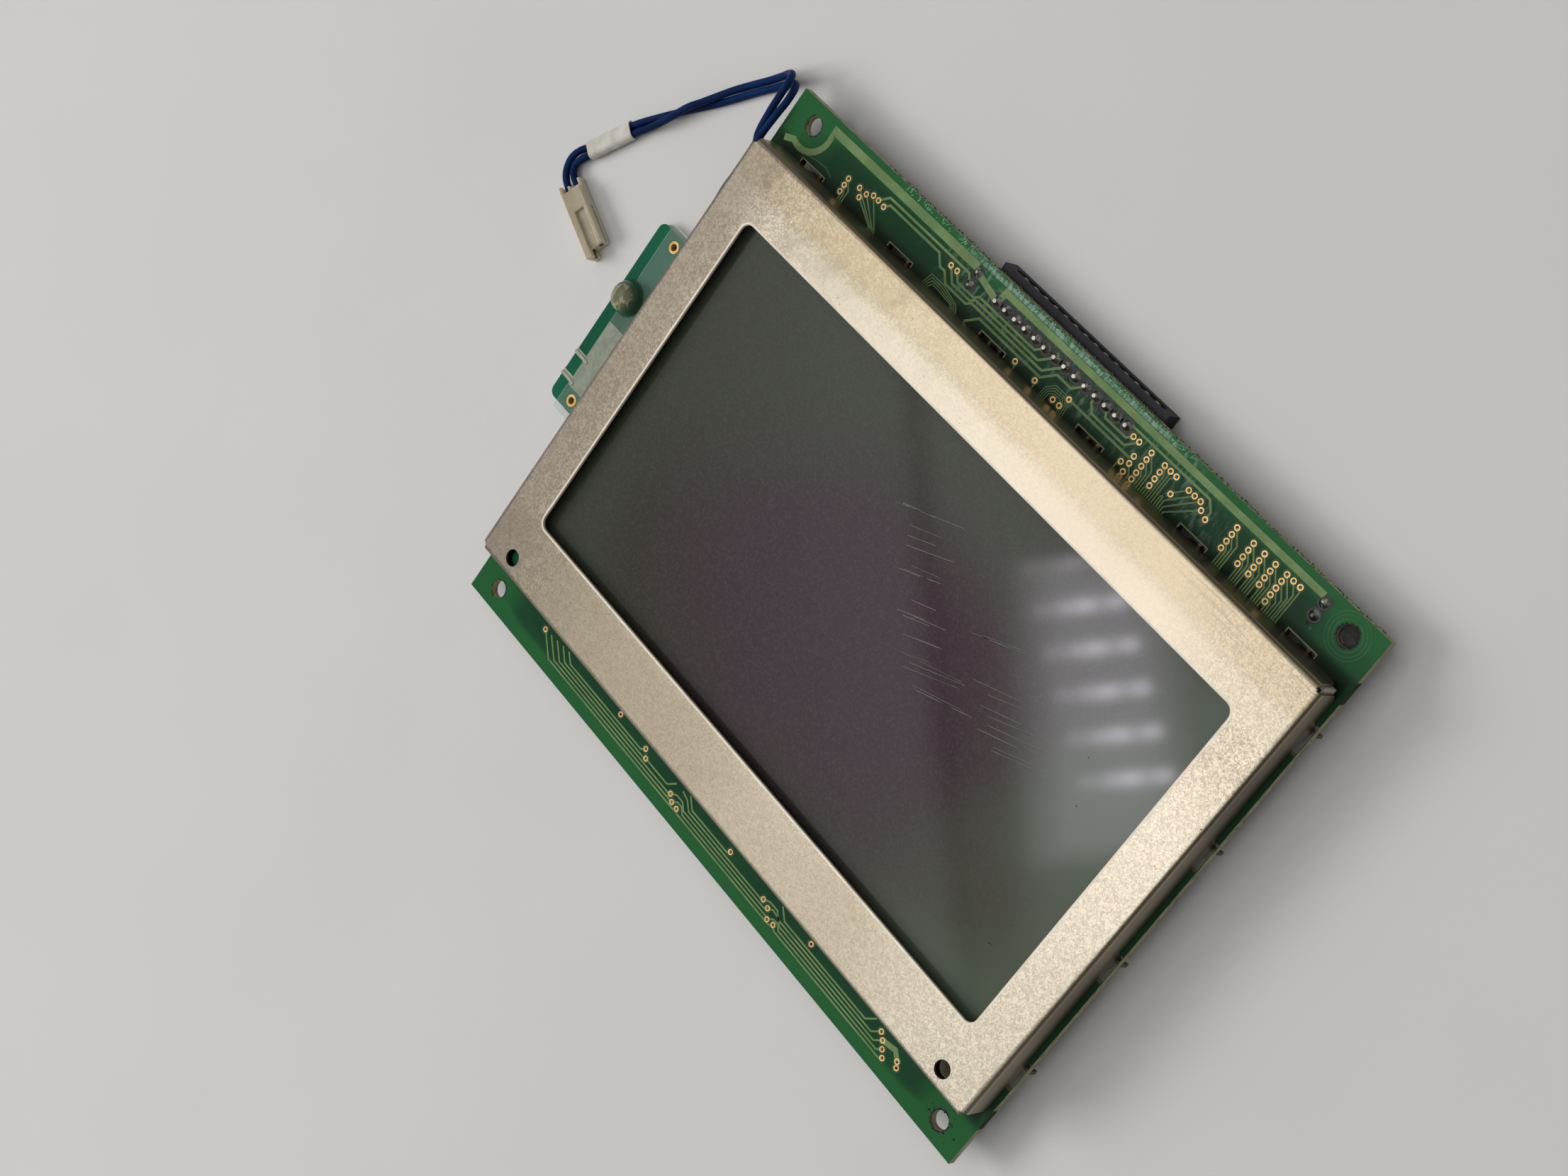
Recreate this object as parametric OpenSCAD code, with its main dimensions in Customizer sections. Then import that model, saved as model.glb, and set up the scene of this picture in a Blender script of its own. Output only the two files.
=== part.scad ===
// Graphic LCD module: a glass panel under a folded steel bezel on a green circuit board, with a
// header below one long edge, a narrow side board below one short edge and a two-wire lamp lead.
// Millimetres. X runs along the long edges, Y across them, Z out of the screen.
// The origin is the middle of the four mounting holes, on the rear face of the board.

/* [Main board] */
// Length of the board along X
board_w = 147; // [140:0.5:165]
// Width of the board along Y
board_h = 116; // [110:0.5:130]
// Thickness of the board
board_t = 1.6; // [1:0.1:2.4]
// Diameter of the mounting holes
hole_d = 3.5; // [2.5:0.1:4.5]
// Mounting holes in from the short edges
hole_in_x = 6; // [4:0.1:9]
// Mounting holes in from the long edges
hole_in_y = 4; // [3:0.1:6]

/* [Bezel] */
// Strip of board outside the bezel at each short edge
strip_x = 1; // [0.6:0.1:3]
// Strip of board outside the bezel at each long edge
strip_y = 10.5; // [10:0.1:14]
// Thickness of the bezel's sheet
sheet_t = 0.6; // [0.4:0.1:1]
// Inner radius of the bezel's folds
fold_in_r = 0.4; // [0.2:0.1:1]
// Opening at each corner between the folded walls
corner_gap = 0.3; // [0.1:0.1:1]
// Cut across each lower end of a wall
wall_end_cut = 1.2; // [0.4:0.1:2]
// Width of the bezel's face beside the window at the short edges
face_x = 9; // [8:0.1:12]
// Width of the bezel's face beside the window at the long edges
face_y = 12.5; // [11:0.1:16]
// Corner radius of the window
window_r = 1.8; // [0.5:0.1:4]
// Diameter of the two screw holes in the bezel's face
face_hole_d = 3.2; // [2:0.1:3.8]
// Screw holes in from the bezel's short sides
face_hole_in_x = 8.1; // [6:0.1:12]
// Screw holes in from the bezel's long side
face_hole_in_y = 3.5; // [3.2:0.1:5]

/* [Bezel legs] */
// Legs along each long side
long_legs = 6; // [2:1:8]
// Legs along each short side
short_legs = 4; // [2:1:6]
// First and last leg in from the ends of their wall
leg_end = 10; // [8:0.5:16]
// Width of a leg
leg_w = 3.2; // [2:0.1:4.5]
// Flare where a leg leaves the wall
leg_flare = 0.4; // [0.1:0.1:0.8]
// Twist of a leg's tip behind the board
leg_twist = 75; // [30:1:90]
// Length of a slot for a leg
slot_len = 6.1; // [5.9:0.1:9]
// Width of a slot for a leg
slot_w = 2.4; // [1.6:0.1:3]

/* [Display stack] */
// Thickness of the tray's floor
tray_floor_t = 1.1; // [0.8:0.1:2]
// Width of the tray's rim at the short sides
tray_rim_x = 3; // [2.6:0.1:4]
// Thickness of the lamp panel
lamp_t = 0.5; // [0.3:0.1:1]
// Lamp panel and rear polariser in from the rear glass's edges
lamp_in = 2.5; // [1:0.1:4]
// Thickness of each polariser
polariser_t = 0.2; // [0.1:0.05:0.4]
// Thickness of each glass plate
glass_t = 1.1; // [0.7:0.1:1.6]
// Ledge of the front glass past the rear glass at each long side
glass_ledge = 4; // [3:0.1:5]
// Width of a contact strip
strip_w = 2; // [1.2:0.1:2.6]
// Contact strips in from the ends of the glass
strip_in = 8; // [4:0.1:15]
// Height of the gasket between glass and bezel
gasket_t = 1.8; // [1:0.1:3]
// Gasket set back from the window's edge
gasket_back = 1; // [0.5:0.1:2]
// Gasket in from the tray's edge
gasket_in = 0.5; // [0:0.1:1]

/* [Header] */
// Number of ways
ways = 14; // [4:1:20]
// Distance from way to way
way_pitch = 2.54; // [2:0.01:2.54]
// Height of the header, on which the module rests
header_h = 3.8; // [3.4:0.1:6]
// Body past the first and last way
header_end = 4.1; // [3:0.1:6]
// Body past the board's edge
header_over = 1.5; // [0.5:0.1:4]
// Body behind the row of pins
header_back = 3.3; // [2:0.1:5]
// Row of pins in from the board's edge
row_in = 4; // [3:0.1:5]
// Wall above the cable slot
lip_t = 0.7; // [0.4:0.1:1]
// Height of the cable slot
cable_slot_h = 1.8; // [1.2:0.1:2.2]
// Width of a contact blade
blade_w = 1.2; // [0.6:0.1:1.5]
// Thickness of a contact blade
blade_t = 0.3; // [0.2:0.05:0.5]
// Diameter of a pin
pin_d = 0.7; // [0.4:0.05:0.8]
// Diameter of a solder joint
joint_d = 1.9; // [1.4:0.1:2.1]
// Height of a solder joint
joint_h = 0.8; // [0.4:0.1:1.2]
// Spare solder joints beside the first way and the last mounting hole
spare_gap = 6.25; // [5.5:0.05:7]

/* [Side board] */
// Length of the side board along X
side_w = 25; // [20:0.5:32]
// Width of the side board along Y
side_h = 40.5; // [36:0.5:50]
// Thickness of the side board
side_t = 1.6; // [1:0.1:1.8]
// Side board past the main board's edge
side_over = 12.8; // [10:0.1:15]
// Radius of the side board's outer corners
side_r = 1.5; // [0.5:0.1:3]
// Diameter of an eyelet's flange
eyelet_d = 2.4; // [2:0.1:3]
// Diameter of an eyelet's hole
eyelet_hole_d = 1.4; // [1:0.1:1.6]
// Eyelets in from the outer edge
eyelet_in_x = 5.5; // [4.6:0.1:8]
// Eyelets in from the ends
eyelet_in_y = 2.15; // [1.8:0.05:2.6]
// Thickness of the eyelet flanges and of the white patch
pad_t = 0.1; // [0.05:0.05:0.2]
// Thickness of the clear film
film_t = 0.15; // [0.1:0.05:0.3]
// Clear film in from the side board's outer edge
film_back = 2.7; // [1:0.1:4]
// Clear film past the side board's ends
film_over = 1.15; // [0:0.05:2]
// Diameter of the resin blob
blob_d = 6.8; // [4:0.1:7.4]
// Height of the resin blob
blob_h = 3.4; // [0.6:0.1:3.6]
// Length of the white patch along Y
patch_l = 15; // [12:0.1:16]
// Width of the white patch along X
patch_w = 7; // [4:0.1:10]
// Width of the patch's two fingers
finger_w = 1.2; // [0.6:0.1:2]
// Distance between the patch's two fingers
finger_pitch = 4.8; // [3:0.1:6]
// Width of a foam pad along Y
foam_w = 8; // [4:0.1:12]

/* [Chips on the back] */
// Length of a driver or controller chip
chip_l = 20; // [14:0.1:22]
// Width of a driver or controller chip
chip_w = 14; // [10:0.1:16]
// Height of a driver or controller chip
chip_h = 2.6; // [1.5:0.1:3]
// Length of a memory chip
memory_l = 18.4; // [15:0.1:22]
// Width of a memory chip
memory_w = 7.6; // [6:0.1:9]
// Length of the amplifier chip
amplifier_l = 8.7; // [5:0.1:10]
// Width of the amplifier chip
amplifier_w = 3.9; // [3:0.1:5]
// Height of the amplifier chip
amplifier_h = 1.6; // [1.2:0.1:2]
// Length of a capacitor or resistor
passive_l = 2; // [1.6:0.1:3.2]
// Width of a capacitor or resistor
passive_w = 1.25; // [0.8:0.05:1.6]
// Height of a capacitor
capacitor_h = 1; // [0.6:0.1:1.4]
// Height of a resistor
resistor_h = 0.5; // [0.4:0.1:0.7]

/* [Lead] */
// Diameter of a wire
wire_d = 1.4; // [1:0.1:1.4]
// Middle of the lead's gate from the bezel's middle
gate_y = 30.4; // [27:0.1:31]
// Length of a lamp terminal
terminal_l = 1.6; // [1:0.1:2.2]
// Length of the marker sleeve
sleeve_l = 10.6; // [6:0.1:10.8]
// Wall of the marker sleeve
sleeve_t = 0.25; // [0.15:0.05:0.25]
// Length of the plug
plug_l = 16; // [14:0.1:20]
// Width of the plug
plug_w = 4.5; // [4.2:0.1:6]
// Height of the plug
plug_h = 3; // [2.8:0.1:4]
// Height of the plug's tunnels
tunnel_h = 1.7; // [1.6:0.1:1.9]

/* [Hidden] */
$fn = 48;

// Clearances, and how far a cut runs past what it cuts
fit_gap = 0.2;
hole_gap = 0.3;
screw_gap = 0.4;
leg_gap = 0.25;
leg_lap = 0.4;
fold_lap = 0.5;
tip_gap = 0.1;
cut = 1;

// Board
hole_x = board_w / 2 - hole_in_x;
hole_y = board_h / 2 - hole_in_y;
long_edge = board_h / 2;
short_edge = board_w / 2;

// Heights of the display stack, from the front of the board
lamp_z = board_t + tray_floor_t;
rear_polariser_z = lamp_z + lamp_t;
rear_glass_z = rear_polariser_z + polariser_t;
front_glass_z = rear_glass_z + glass_t;
gasket_z = front_glass_z + glass_t;
face_z = gasket_z + gasket_t;
bezel_top = face_z + sheet_t;

// Outlines, from the bezel inwards
bezel_w = board_w - 2 * strip_x;
bezel_h = board_h - 2 * strip_y;
fold_r = fold_in_r + sheet_t;
window_w = bezel_w - 2 * face_x;
window_h = bezel_h - 2 * face_y;
face_hole_x = bezel_w / 2 - face_hole_in_x;
face_hole_y = -bezel_h / 2 + face_hole_in_y;
tray_w = bezel_w - 2 * (sheet_t + fit_gap);
tray_h = bezel_h - 2 * (sheet_t + fit_gap);
screw_path_d = face_hole_d + 2 * screw_gap;
tray_rim_y = face_hole_in_y - sheet_t - fit_gap + screw_path_d / 2 + tip_gap;
pocket_w = tray_w - 2 * tray_rim_x;
pocket_h = tray_h - 2 * tray_rim_y;
glass_w = pocket_w - 2 * fit_gap;
front_glass_h = pocket_h - 2 * fit_gap;
rear_glass_h = front_glass_h - 2 * glass_ledge;
lamp_w = glass_w - 2 * lamp_in;
lamp_h = rear_glass_h - 2 * lamp_in;
view_w = window_w + 2 * gasket_back;
view_h = window_h + 2 * gasket_back;
strip_l = glass_w - 2 * strip_in;
strip_at_y = rear_glass_h / 2 + glass_ledge / 2;

// Levels behind the board: the header, the memory chips and the side board all reach the rest plane
rest_z = -header_h;
side_top = rest_z + side_t;
film_z = side_top + pad_t;
film_top = film_z + film_t;
leg_drop = -film_top - leg_gap;
leg_off = slot_len / 2 - leg_w / 2 - leg_flare - tip_gap;
long_leg_x = leg_places(bezel_w, long_legs);
short_leg_y = leg_places(bezel_h, short_legs);

// Header
way_x = spread(ways, way_pitch);
row_y = long_edge - row_in;
header_w = (ways - 1) * way_pitch + 2 * header_end;
header_front = long_edge + header_over;
header_d = header_over + row_in + header_back;
blade_root = pin_d;
blade_in = 0.4;
header_wall = 2;
cable_slot_r = 0.6;
cable_slot_back = row_y - blade_root - fit_gap;
pin_top = board_t + joint_h + fit_gap;
spare_x = [way_x[0] - spare_gap, hole_x - spare_gap];
spare_y = [row_y - way_pitch / 2, row_y + way_pitch / 2];

// Side board, from its outer edge
side_x = -short_edge - side_over;
side_mid_x = side_x + side_w / 2;
eyelet_x = side_x + eyelet_in_x;
eyelet_y = side_h / 2 - eyelet_in_y;
barrel_t = 0.25;
barrel_d = eyelet_hole_d + 2 * barrel_t;
blob_y = 4.7;
blob_at = [side_x + blob_d / 2, blob_y];
patch_gap = 0.7;
patch_x = side_x + film_back;
patch_y = -eyelet_y + eyelet_d / 2 + patch_gap;
film_end_gap = 0.5;
film_w = side_w - film_back - film_end_gap;
film_h = side_h + 2 * film_over;
foam_x = (sheet_t + leg_w - bezel_w) / 2 + leg_gap;
foam_l = side_x + film_back + film_w - film_end_gap - foam_x;
foam_y = 10;

// Chips: middle of each one on the back, and the dimple by its first pin
dimple_d = 0.8;
dimple_in = 1.2;
dimple_t = 0.1;
controller_at = [-4, 6];
driver_y = 30;
column_driver_x = [-44, 0, 44];
row_driver_at = [[52, 2], [26, -6]];
memory_at = [[-34, -36], [40, -36]];
amplifier_at = [0, -22];
capacitor_off = 5;
capacitor_y = 18;
capacitor_at = [for (x = column_driver_x, s = [-1, 1]) [x + s * capacitor_off, capacitor_y]];
resistors = 8;
resistor_pitch = 4;
resistor_y = -30;
resistor_at = [for (x = spread(resistors, resistor_pitch)) [x, resistor_y]];

// Lead: it starts at the bezel's outer face, and its points are measured from there
lead_from = [-bezel_w / 2, gate_y, lamp_z + wire_d / 2];
wire_pitch = 1.6;
gate_w = wire_pitch + wire_d + 2 * hole_gap;
gate_h = wire_d + hole_gap;
tail_w = 1.2;
wire_start = 1.9;
tail_x = lead_from[0] + wire_start + terminal_l;
wire_a_route = [
    [1.9, 0.8, 0], [0.1, 0.8, 0], [-1.1, 1.1, 0], [-1.9, 2, 0], [-2.2, 3.4, -0.1], [-2.2, 8, -0.2],
    [-2.2, 12, -0.3], [-2.5, 16.4, -0.5], [-2.4, 20.8, -0.8], [-2.6, 24, -1.5], [-3.8, 25.9, -2.9],
    [-5.9, 26, -4.7], [-7.8, 24.7, -5.9], [-9.8, 22.7, -6.5], [-12.5, 19.9, -6.5], [-15.8, 16.2, -6.5],
    [-19.1, 12.6, -6.5], [-24.5, 7.2, -6.5], [-28.7, 2.8, -6.4], [-32.3, -1.5, -6.1],
    [-35.3, -6.1, -6.1], [-38.3, -10.7, -6.1], [-39.6, -12.4, -6.1], [-40.3, -14.2, -6],
    [-40.1, -16.2, -5.9], [-39.1, -18, -5.9], [-37.2, -19.3, -5.9], [-35.3, -20, -5.9],
    [-33.4, -20.7, -5.9]
];
wire_b_route = [
    [1.9, -0.8, 0], [0.1, -0.8, 0], [-1.7, -0.5, -0.3], [-2.7, 0.8, -1], [-2.9, 2.8, -1.5],
    [-2.9, 6, -1.7], [-2.9, 11.6, -1.7], [-3.3, 14.2, -1.6], [-3.8, 15.6, -1.4], [-4.1, 19.9, -1],
    [-4.1, 23.7, -0.8], [-4.6, 26.2, -1.4], [-5.8, 27.3, -2.7], [-7.6, 26.8, -4.3], [-9.5, 25.2, -5.5],
    [-11.7, 23, -6.2], [-14.7, 19.9, -6.4], [-17.1, 17, -6], [-19.2, 13.9, -5.3], [-21, 11.4, -5],
    [-22.9, 9, -4.9], [-24.9, 5.6, -5], [-26.9, 2.6, -5.4], [-28.9, 0.2, -5.9], [-31, -2.4, -6.1],
    [-34, -7, -6.1], [-37, -11.6, -6.1], [-38.1, -13.3, -6.1], [-38.6, -14.5, -6], [-38.5, -15.7, -5.9],
    [-37.8, -16.7, -5.9], [-36.6, -17.3, -5.9], [-34.5, -18, -5.9], [-32.7, -18.7, -5.9]
];
tube_sides = 8;
sleeve_at = [-34.65, -6.55, -6.1];
sleeve_yaw = 56.9;
sleeve_pitch = 1.58;
sleeve_bore_d = wire_d + hole_gap;
plug_at = [-36.8, -18.3, -7.2];
plug_yaw = -21;
plug_pitch = 2.1;
tunnel_w = 1.6;
tunnel_z = 1.3;
crimp_from = 4.1;
plug_nose = 3;
crimp_to = plug_l - plug_nose;
crimp_side = 1.5;
mouth_side = 1;
rear_cut_l = 1.8;
plug_wall = 0.6;
low_wall_h = 2;
partition_t = 0.35;
partition_from = 0.9;
groove_from = 6.2;
groove_roof_t = 0.2;
groove_bed = tunnel_z + tunnel_h / 2 + groove_roof_t;
rail_w = 0.7;
side_groove_t = 0.2;
side_groove_z = 0.9;
side_groove_h = 0.7;
tongue_w = 1.35;
tongue_l = 1.5;

// Places of n things at a pitch, about the middle
function spread(n, pitch) = [for (i = [0 : n - 1]) (i - (n - 1) / 2) * pitch];

// Places of n legs along a wall, evenly between its ends
function leg_places(span, n) = spread(n, (span - 2 * leg_end) / (n - 1));

// Unit vector along v
function unit(v) = v / norm(v);

// Direction in which a route arrives at one of its points, leaves it and passes it
function arriving(p, i) = let (k = max(i, 1)) unit(p[k] - p[k - 1]);
function leaving(p, i) = let (k = min(i, len(p) - 2)) unit(p[k + 1] - p[k]);
function directions(p) = [for (i = [0 : len(p) - 1]) unit(arriving(p, i) + leaving(p, i))];

// A side vector carried along to the next direction
function carried(side, along) = unit(side - (side * along) * along);

// A side vector at each point of a route, without twist
function sides(t) = [
    for (i = 0, s = carried([0, 0, 1], t[0]); i < len(t); i = i + 1, s = i < len(t) ? carried(s, t[i]) : s) s
];

// Sheets, seen from the front, about the middle
module plate(w, h, t) {
    linear_extrude(t) square([w, h], center = true);
}

module rounded_rectangle(w, h, r) {
    square([w - 2 * r, h], center = true);
    square([w, h - 2 * r], center = true);
    for (x = [-1, 1], y = [-1, 1])
        translate([x * (w / 2 - r), y * (h / 2 - r)]) circle(r);
}

module at_corners(x, y) {
    for (sx = [-1, 1], sy = [-1, 1]) translate([sx * x, sy * y]) children();
}

// Holes in the board for the bezel's legs
module leg_slots() {
    for (s = [-1, 1]) {
        for (x = long_leg_x)
            translate([x, s * (bezel_h - sheet_t) / 2]) square([slot_len, slot_w], center = true);
        for (y = short_leg_y)
            translate([s * (bezel_w - sheet_t) / 2, y]) square([slot_w, slot_len], center = true);
    }
}

module main_board() {
    color("#2c6e49")
        linear_extrude(board_t)
            difference() {
                square([board_w, board_h], center = true);
                at_corners(hole_x, hole_y) circle(d = hole_d);
                leg_slots();
                for (x = way_x) translate([x, row_y]) circle(d = pin_d + hole_gap);
            }
}

// One folded wall of the bezel along X, with legs at the places given
module wall_outline(run, legs) {
    top = bezel_top - fold_r;
    polygon([
        [-run / 2, top], [run / 2, top], [run / 2, board_t + wall_end_cut], [run / 2 - wall_end_cut, board_t],
        [-run / 2 + wall_end_cut, board_t], [-run / 2, board_t + wall_end_cut]
    ]);
    half = leg_w / 2;
    for (x = legs)
        translate([x + leg_off, 0])
            polygon([
                [-half - leg_flare, board_t + cut], [half + leg_flare, board_t + cut],
                [half + leg_flare, board_t], [half, board_t - leg_flare], [half, -leg_lap],
                [-half, -leg_lap], [-half, board_t - leg_flare], [-half - leg_flare, board_t]
            ]);
}

// Section of a fold: a quarter of a ring, with tails that lap the face and the wall
module fold_section() {
    intersection() {
        difference() {
            circle(fold_r);
            circle(fold_in_r);
        }
        square(fold_r);
    }
    translate([-fold_lap, fold_in_r]) square([fold_lap, sheet_t]);
    translate([fold_in_r, -fold_lap]) square([sheet_t, fold_lap]);
}

// The wall and its fold, with the outer face at y = reach
module folded_wall(span, reach, legs) {
    run = span - 2 * (fold_r + corner_gap);
    translate([0, reach, 0]) rotate([90, 0, 0]) linear_extrude(sheet_t) wall_outline(run, legs);
    translate([-run / 2, reach - fold_r, bezel_top - fold_r])
        rotate([90, 0, 90]) linear_extrude(run) fold_section();
    for (x = legs)
        translate([x + leg_off, reach - sheet_t / 2, -leg_drop])
            rotate(leg_twist) plate(leg_w, sheet_t, leg_drop - tip_gap);
}

module face_holes(d) {
    for (s = [-1, 1]) translate([s * face_hole_x, face_hole_y]) circle(d = d);
}

module bezel() {
    color("#b8a98f")
        difference() {
            union() {
                translate([0, 0, face_z])
                    linear_extrude(sheet_t)
                        difference() {
                            square([bezel_w - 2 * fold_r, bezel_h - 2 * fold_r], center = true);
                            rounded_rectangle(window_w, window_h, window_r);
                            face_holes(face_hole_d);
                        }
                for (turn = [0, 180]) {
                    rotate(turn) folded_wall(bezel_w, bezel_h / 2, long_leg_x);
                    rotate(turn - 90) mirror([1, 0, 0]) folded_wall(bezel_h, bezel_w / 2, short_leg_y);
                }
            }
            translate([lead_from[0] - cut, gate_y - gate_w / 2, board_t - leg_lap])
                cube([sheet_t + 2 * cut, gate_w, lead_from[2] - board_t + leg_lap + gate_h / 2]);
        }
}

module gasket() {
    color("#161616")
        translate([0, 0, gasket_z])
            linear_extrude(gasket_t)
                difference() {
                    square([tray_w - 2 * gasket_in, tray_h - 2 * gasket_in], center = true);
                    rounded_rectangle(view_w, view_h, window_r);
                    face_holes(screw_path_d);
                }
}

module front_polariser() {
    color("#3f463f")
        translate([0, 0, gasket_z])
            linear_extrude(polariser_t)
                rounded_rectangle(view_w - 2 * fit_gap, view_h - 2 * fit_gap, window_r);
}

module front_glass() {
    color("#c9d6d2") translate([0, 0, front_glass_z]) plate(glass_w, front_glass_h, glass_t);
}

module rear_glass() {
    color("#bccac6") translate([0, 0, rear_glass_z]) plate(glass_w, rear_glass_h, glass_t);
}

module rear_polariser() {
    color("#565c56") translate([0, 0, rear_polariser_z]) plate(lamp_w, lamp_h, polariser_t);
}

// Tails of the lamp and what is crimped on them, one for each wire
module at_tails() {
    for (s = [-1, 1]) translate([tail_x, gate_y + s * wire_pitch / 2, lamp_z]) children();
}

module lamp_panel() {
    color("#e3ece2") {
        translate([0, 0, lamp_z]) plate(lamp_w, lamp_h, lamp_t);
        at_tails() translate([0, -tail_w / 2, 0]) cube([-lamp_w / 2 - tail_x + cut, tail_w, lamp_t]);
    }
}

module lamp_terminals() {
    color("#c8c2b0")
        at_tails() translate([-terminal_l, -tail_w / 2, 0]) cube([terminal_l, tail_w, wire_d]);
}

module tray() {
    color("#d8d4c6")
        difference() {
            translate([0, 0, board_t]) plate(tray_w, tray_h, gasket_z - board_t);
            translate([0, 0, lamp_z]) plate(pocket_w, pocket_h, gasket_z);
            for (s = [-1, 1])
                translate([0, s * strip_at_y, 0]) plate(strip_l + fit_gap, strip_w + fit_gap, gasket_z);
            linear_extrude(gasket_z + cut) face_holes(screw_path_d);
            translate([-tray_w / 2 - cut, gate_y - gate_w / 2, lamp_z])
                cube([tray_rim_x + 2 * cut, gate_w, gasket_z]);
        }
}

module contact_strip(side) {
    color("#d9a6a0")
        translate([0, side * strip_at_y, board_t]) plate(strip_l, strip_w, front_glass_z - board_t);
}

module upper_contact_strip() {
    contact_strip(1);
}

module lower_contact_strip() {
    contact_strip(-1);
}

module header_body() {
    color("#1d1d22")
        difference() {
            translate([0, header_front - header_d / 2, rest_z]) plate(header_w, header_d, header_h);
            translate([0, cable_slot_back, -lip_t - cable_slot_h / 2])
                rotate([-90, 0, 0])
                    linear_extrude(header_front - cable_slot_back + cut)
                        rounded_rectangle(header_w - 2 * header_wall, cable_slot_h, cable_slot_r);
            for (x = way_x)
                translate([x, row_y, -lip_t - cut]) cylinder(d = pin_d + fit_gap / 2, h = lip_t + 2 * cut);
        }
}

module header_contacts() {
    blade_back = row_y - blade_root;
    slot_floor = lip_t + cable_slot_h;
    color("#b9b5aa")
        for (x = way_x) {
            translate([x - blade_w / 2, blade_back, -slot_floor])
                cube([blade_w, header_front - blade_back - blade_in, blade_t]);
            translate([x, row_y, -slot_floor]) cylinder(d = pin_d, h = pin_top + slot_floor);
        }
}

module solder_cone() {
    cylinder(d1 = joint_d, d2 = pin_d + fit_gap, h = joint_h);
}

module header_joints() {
    color("#c6c8c6")
        for (x = way_x)
            translate([x, row_y, board_t])
                difference() {
                    solder_cone();
                    translate([0, 0, -cut]) cylinder(d = pin_d, h = joint_h + 2 * cut);
                }
}

module spare_joints() {
    color("#c6c8c6")
        for (x = spare_x, y = spare_y) translate([x, y, board_t]) solder_cone();
}

module side_board() {
    color("#1f6a4c")
        translate([0, 0, rest_z])
            linear_extrude(side_t)
                difference() {
                    translate([side_mid_x, 0]) rounded_rectangle(side_w, side_h, side_r);
                    for (s = [-1, 1]) translate([eyelet_x, s * eyelet_y]) circle(d = barrel_d);
                }
}

module side_board_eyelets() {
    color("#c79a45")
        for (s = [-1, 1])
            translate([eyelet_x, s * eyelet_y, rest_z])
                difference() {
                    union() {
                        cylinder(d = barrel_d, h = side_t + pad_t);
                        translate([0, 0, side_t]) cylinder(d = eyelet_d, h = pad_t);
                    }
                    translate([0, 0, -cut]) cylinder(d = eyelet_hole_d, h = side_t + 2 * cut);
                }
}

// A dome: the cap of a sphere that is blob_d across and blob_h high
module resin_blob() {
    ball_r = (blob_d * blob_d / 4 + blob_h * blob_h) / (2 * blob_h);
    color("#3c4a37")
        translate([blob_at[0], blob_at[1], side_top])
            intersection() {
                translate([0, 0, blob_h - ball_r]) sphere(ball_r);
                cylinder(d = blob_d + 2 * cut, h = blob_h + cut);
            }
}

module white_patch() {
    color("#b7bda9")
        translate([0, 0, side_top])
            linear_extrude(pad_t) {
                translate([patch_x, patch_y]) square([patch_w, patch_l]);
                for (i = [0, 1])
                    translate([side_x, patch_y + finger_w / 2 + i * finger_pitch])
                        square([patch_x - side_x + finger_w, finger_w]);
            }
}

module clear_film() {
    color("#cfe0d6", 0.4)
        translate([0, 0, film_z])
            linear_extrude(film_t)
                difference() {
                    translate([side_x + film_back, -film_h / 2]) square([film_w, film_h]);
                    translate(blob_at) circle(d = blob_d + fit_gap);
                }
}

module foam_pads() {
    color("#8b8f8c")
        for (s = [-1, 1])
            translate([foam_x, s * foam_y - foam_w / 2, film_top]) cube([foam_l, foam_w, -film_top]);
}

// A moulded chip that hangs from the board's rear face, with a dimple by its first pin
module chip(at, l, w, h) {
    translate([at[0], at[1], -h])
        difference() {
            plate(l, w, h);
            translate([dimple_in - l / 2, dimple_in - w / 2, -cut])
                cylinder(d = dimple_d, h = cut + dimple_t);
        }
}

module controller_chip() {
    color("#232326") chip(controller_at, chip_l, chip_w, chip_h);
}

module memory_chips() {
    color("#29292c") for (at = memory_at) chip(at, memory_l, memory_w, header_h);
}

module column_driver_chips() {
    color("#232326") for (x = column_driver_x) chip([x, driver_y], chip_l, chip_w, chip_h);
}

module row_driver_chips() {
    color("#232326") for (at = row_driver_at) chip(at, chip_l, chip_w, chip_h);
}

module amplifier_chip() {
    color("#232326") chip(amplifier_at, amplifier_l, amplifier_w, amplifier_h);
}

module chip_capacitors() {
    color("#b89a72")
        for (at = capacitor_at)
            translate([at[0], at[1], -capacitor_h]) plate(passive_l, passive_w, capacitor_h);
}

module chip_resistors() {
    color("#2b2b2e")
        for (at = resistor_at)
            translate([at[0], at[1], -resistor_h]) plate(passive_w, passive_l, resistor_h);
}

// A tube along the points of a route
module tube(route) {
    along = directions(route);
    side = sides(along);
    rings = len(route);
    points = [
        for (i = [0 : rings - 1], k = [0 : tube_sides - 1])
            route[i] + wire_d / 2 * (cos(k * 360 / tube_sides) * side[i]
                + sin(k * 360 / tube_sides) * cross(along[i], side[i]))
    ];
    walls = [
        for (i = [0 : rings - 2], k = [0 : tube_sides - 1])
            let (next = (k + 1) % tube_sides, ring = i * tube_sides, far_ring = ring + tube_sides)
                [ring + k, far_ring + k, far_ring + next, ring + next]
    ];
    start = [for (k = [0 : tube_sides - 1]) k];
    end = [for (k = [0 : tube_sides - 1]) rings * tube_sides - 1 - k];
    translate(lead_from) polyhedron(points, concat([start, end], walls));
}

module wire_a() {
    color("#16265c") tube(wire_a_route);
}

module wire_b() {
    color("#16265c") tube(wire_b_route);
}

// Two round tunnels side by side, as one outline
module twin_outline(d) {
    for (s = [-1, 1]) translate([s * sleeve_pitch / 2, 0]) circle(d = d);
    square([sleeve_pitch, d], center = true);
}

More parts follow.
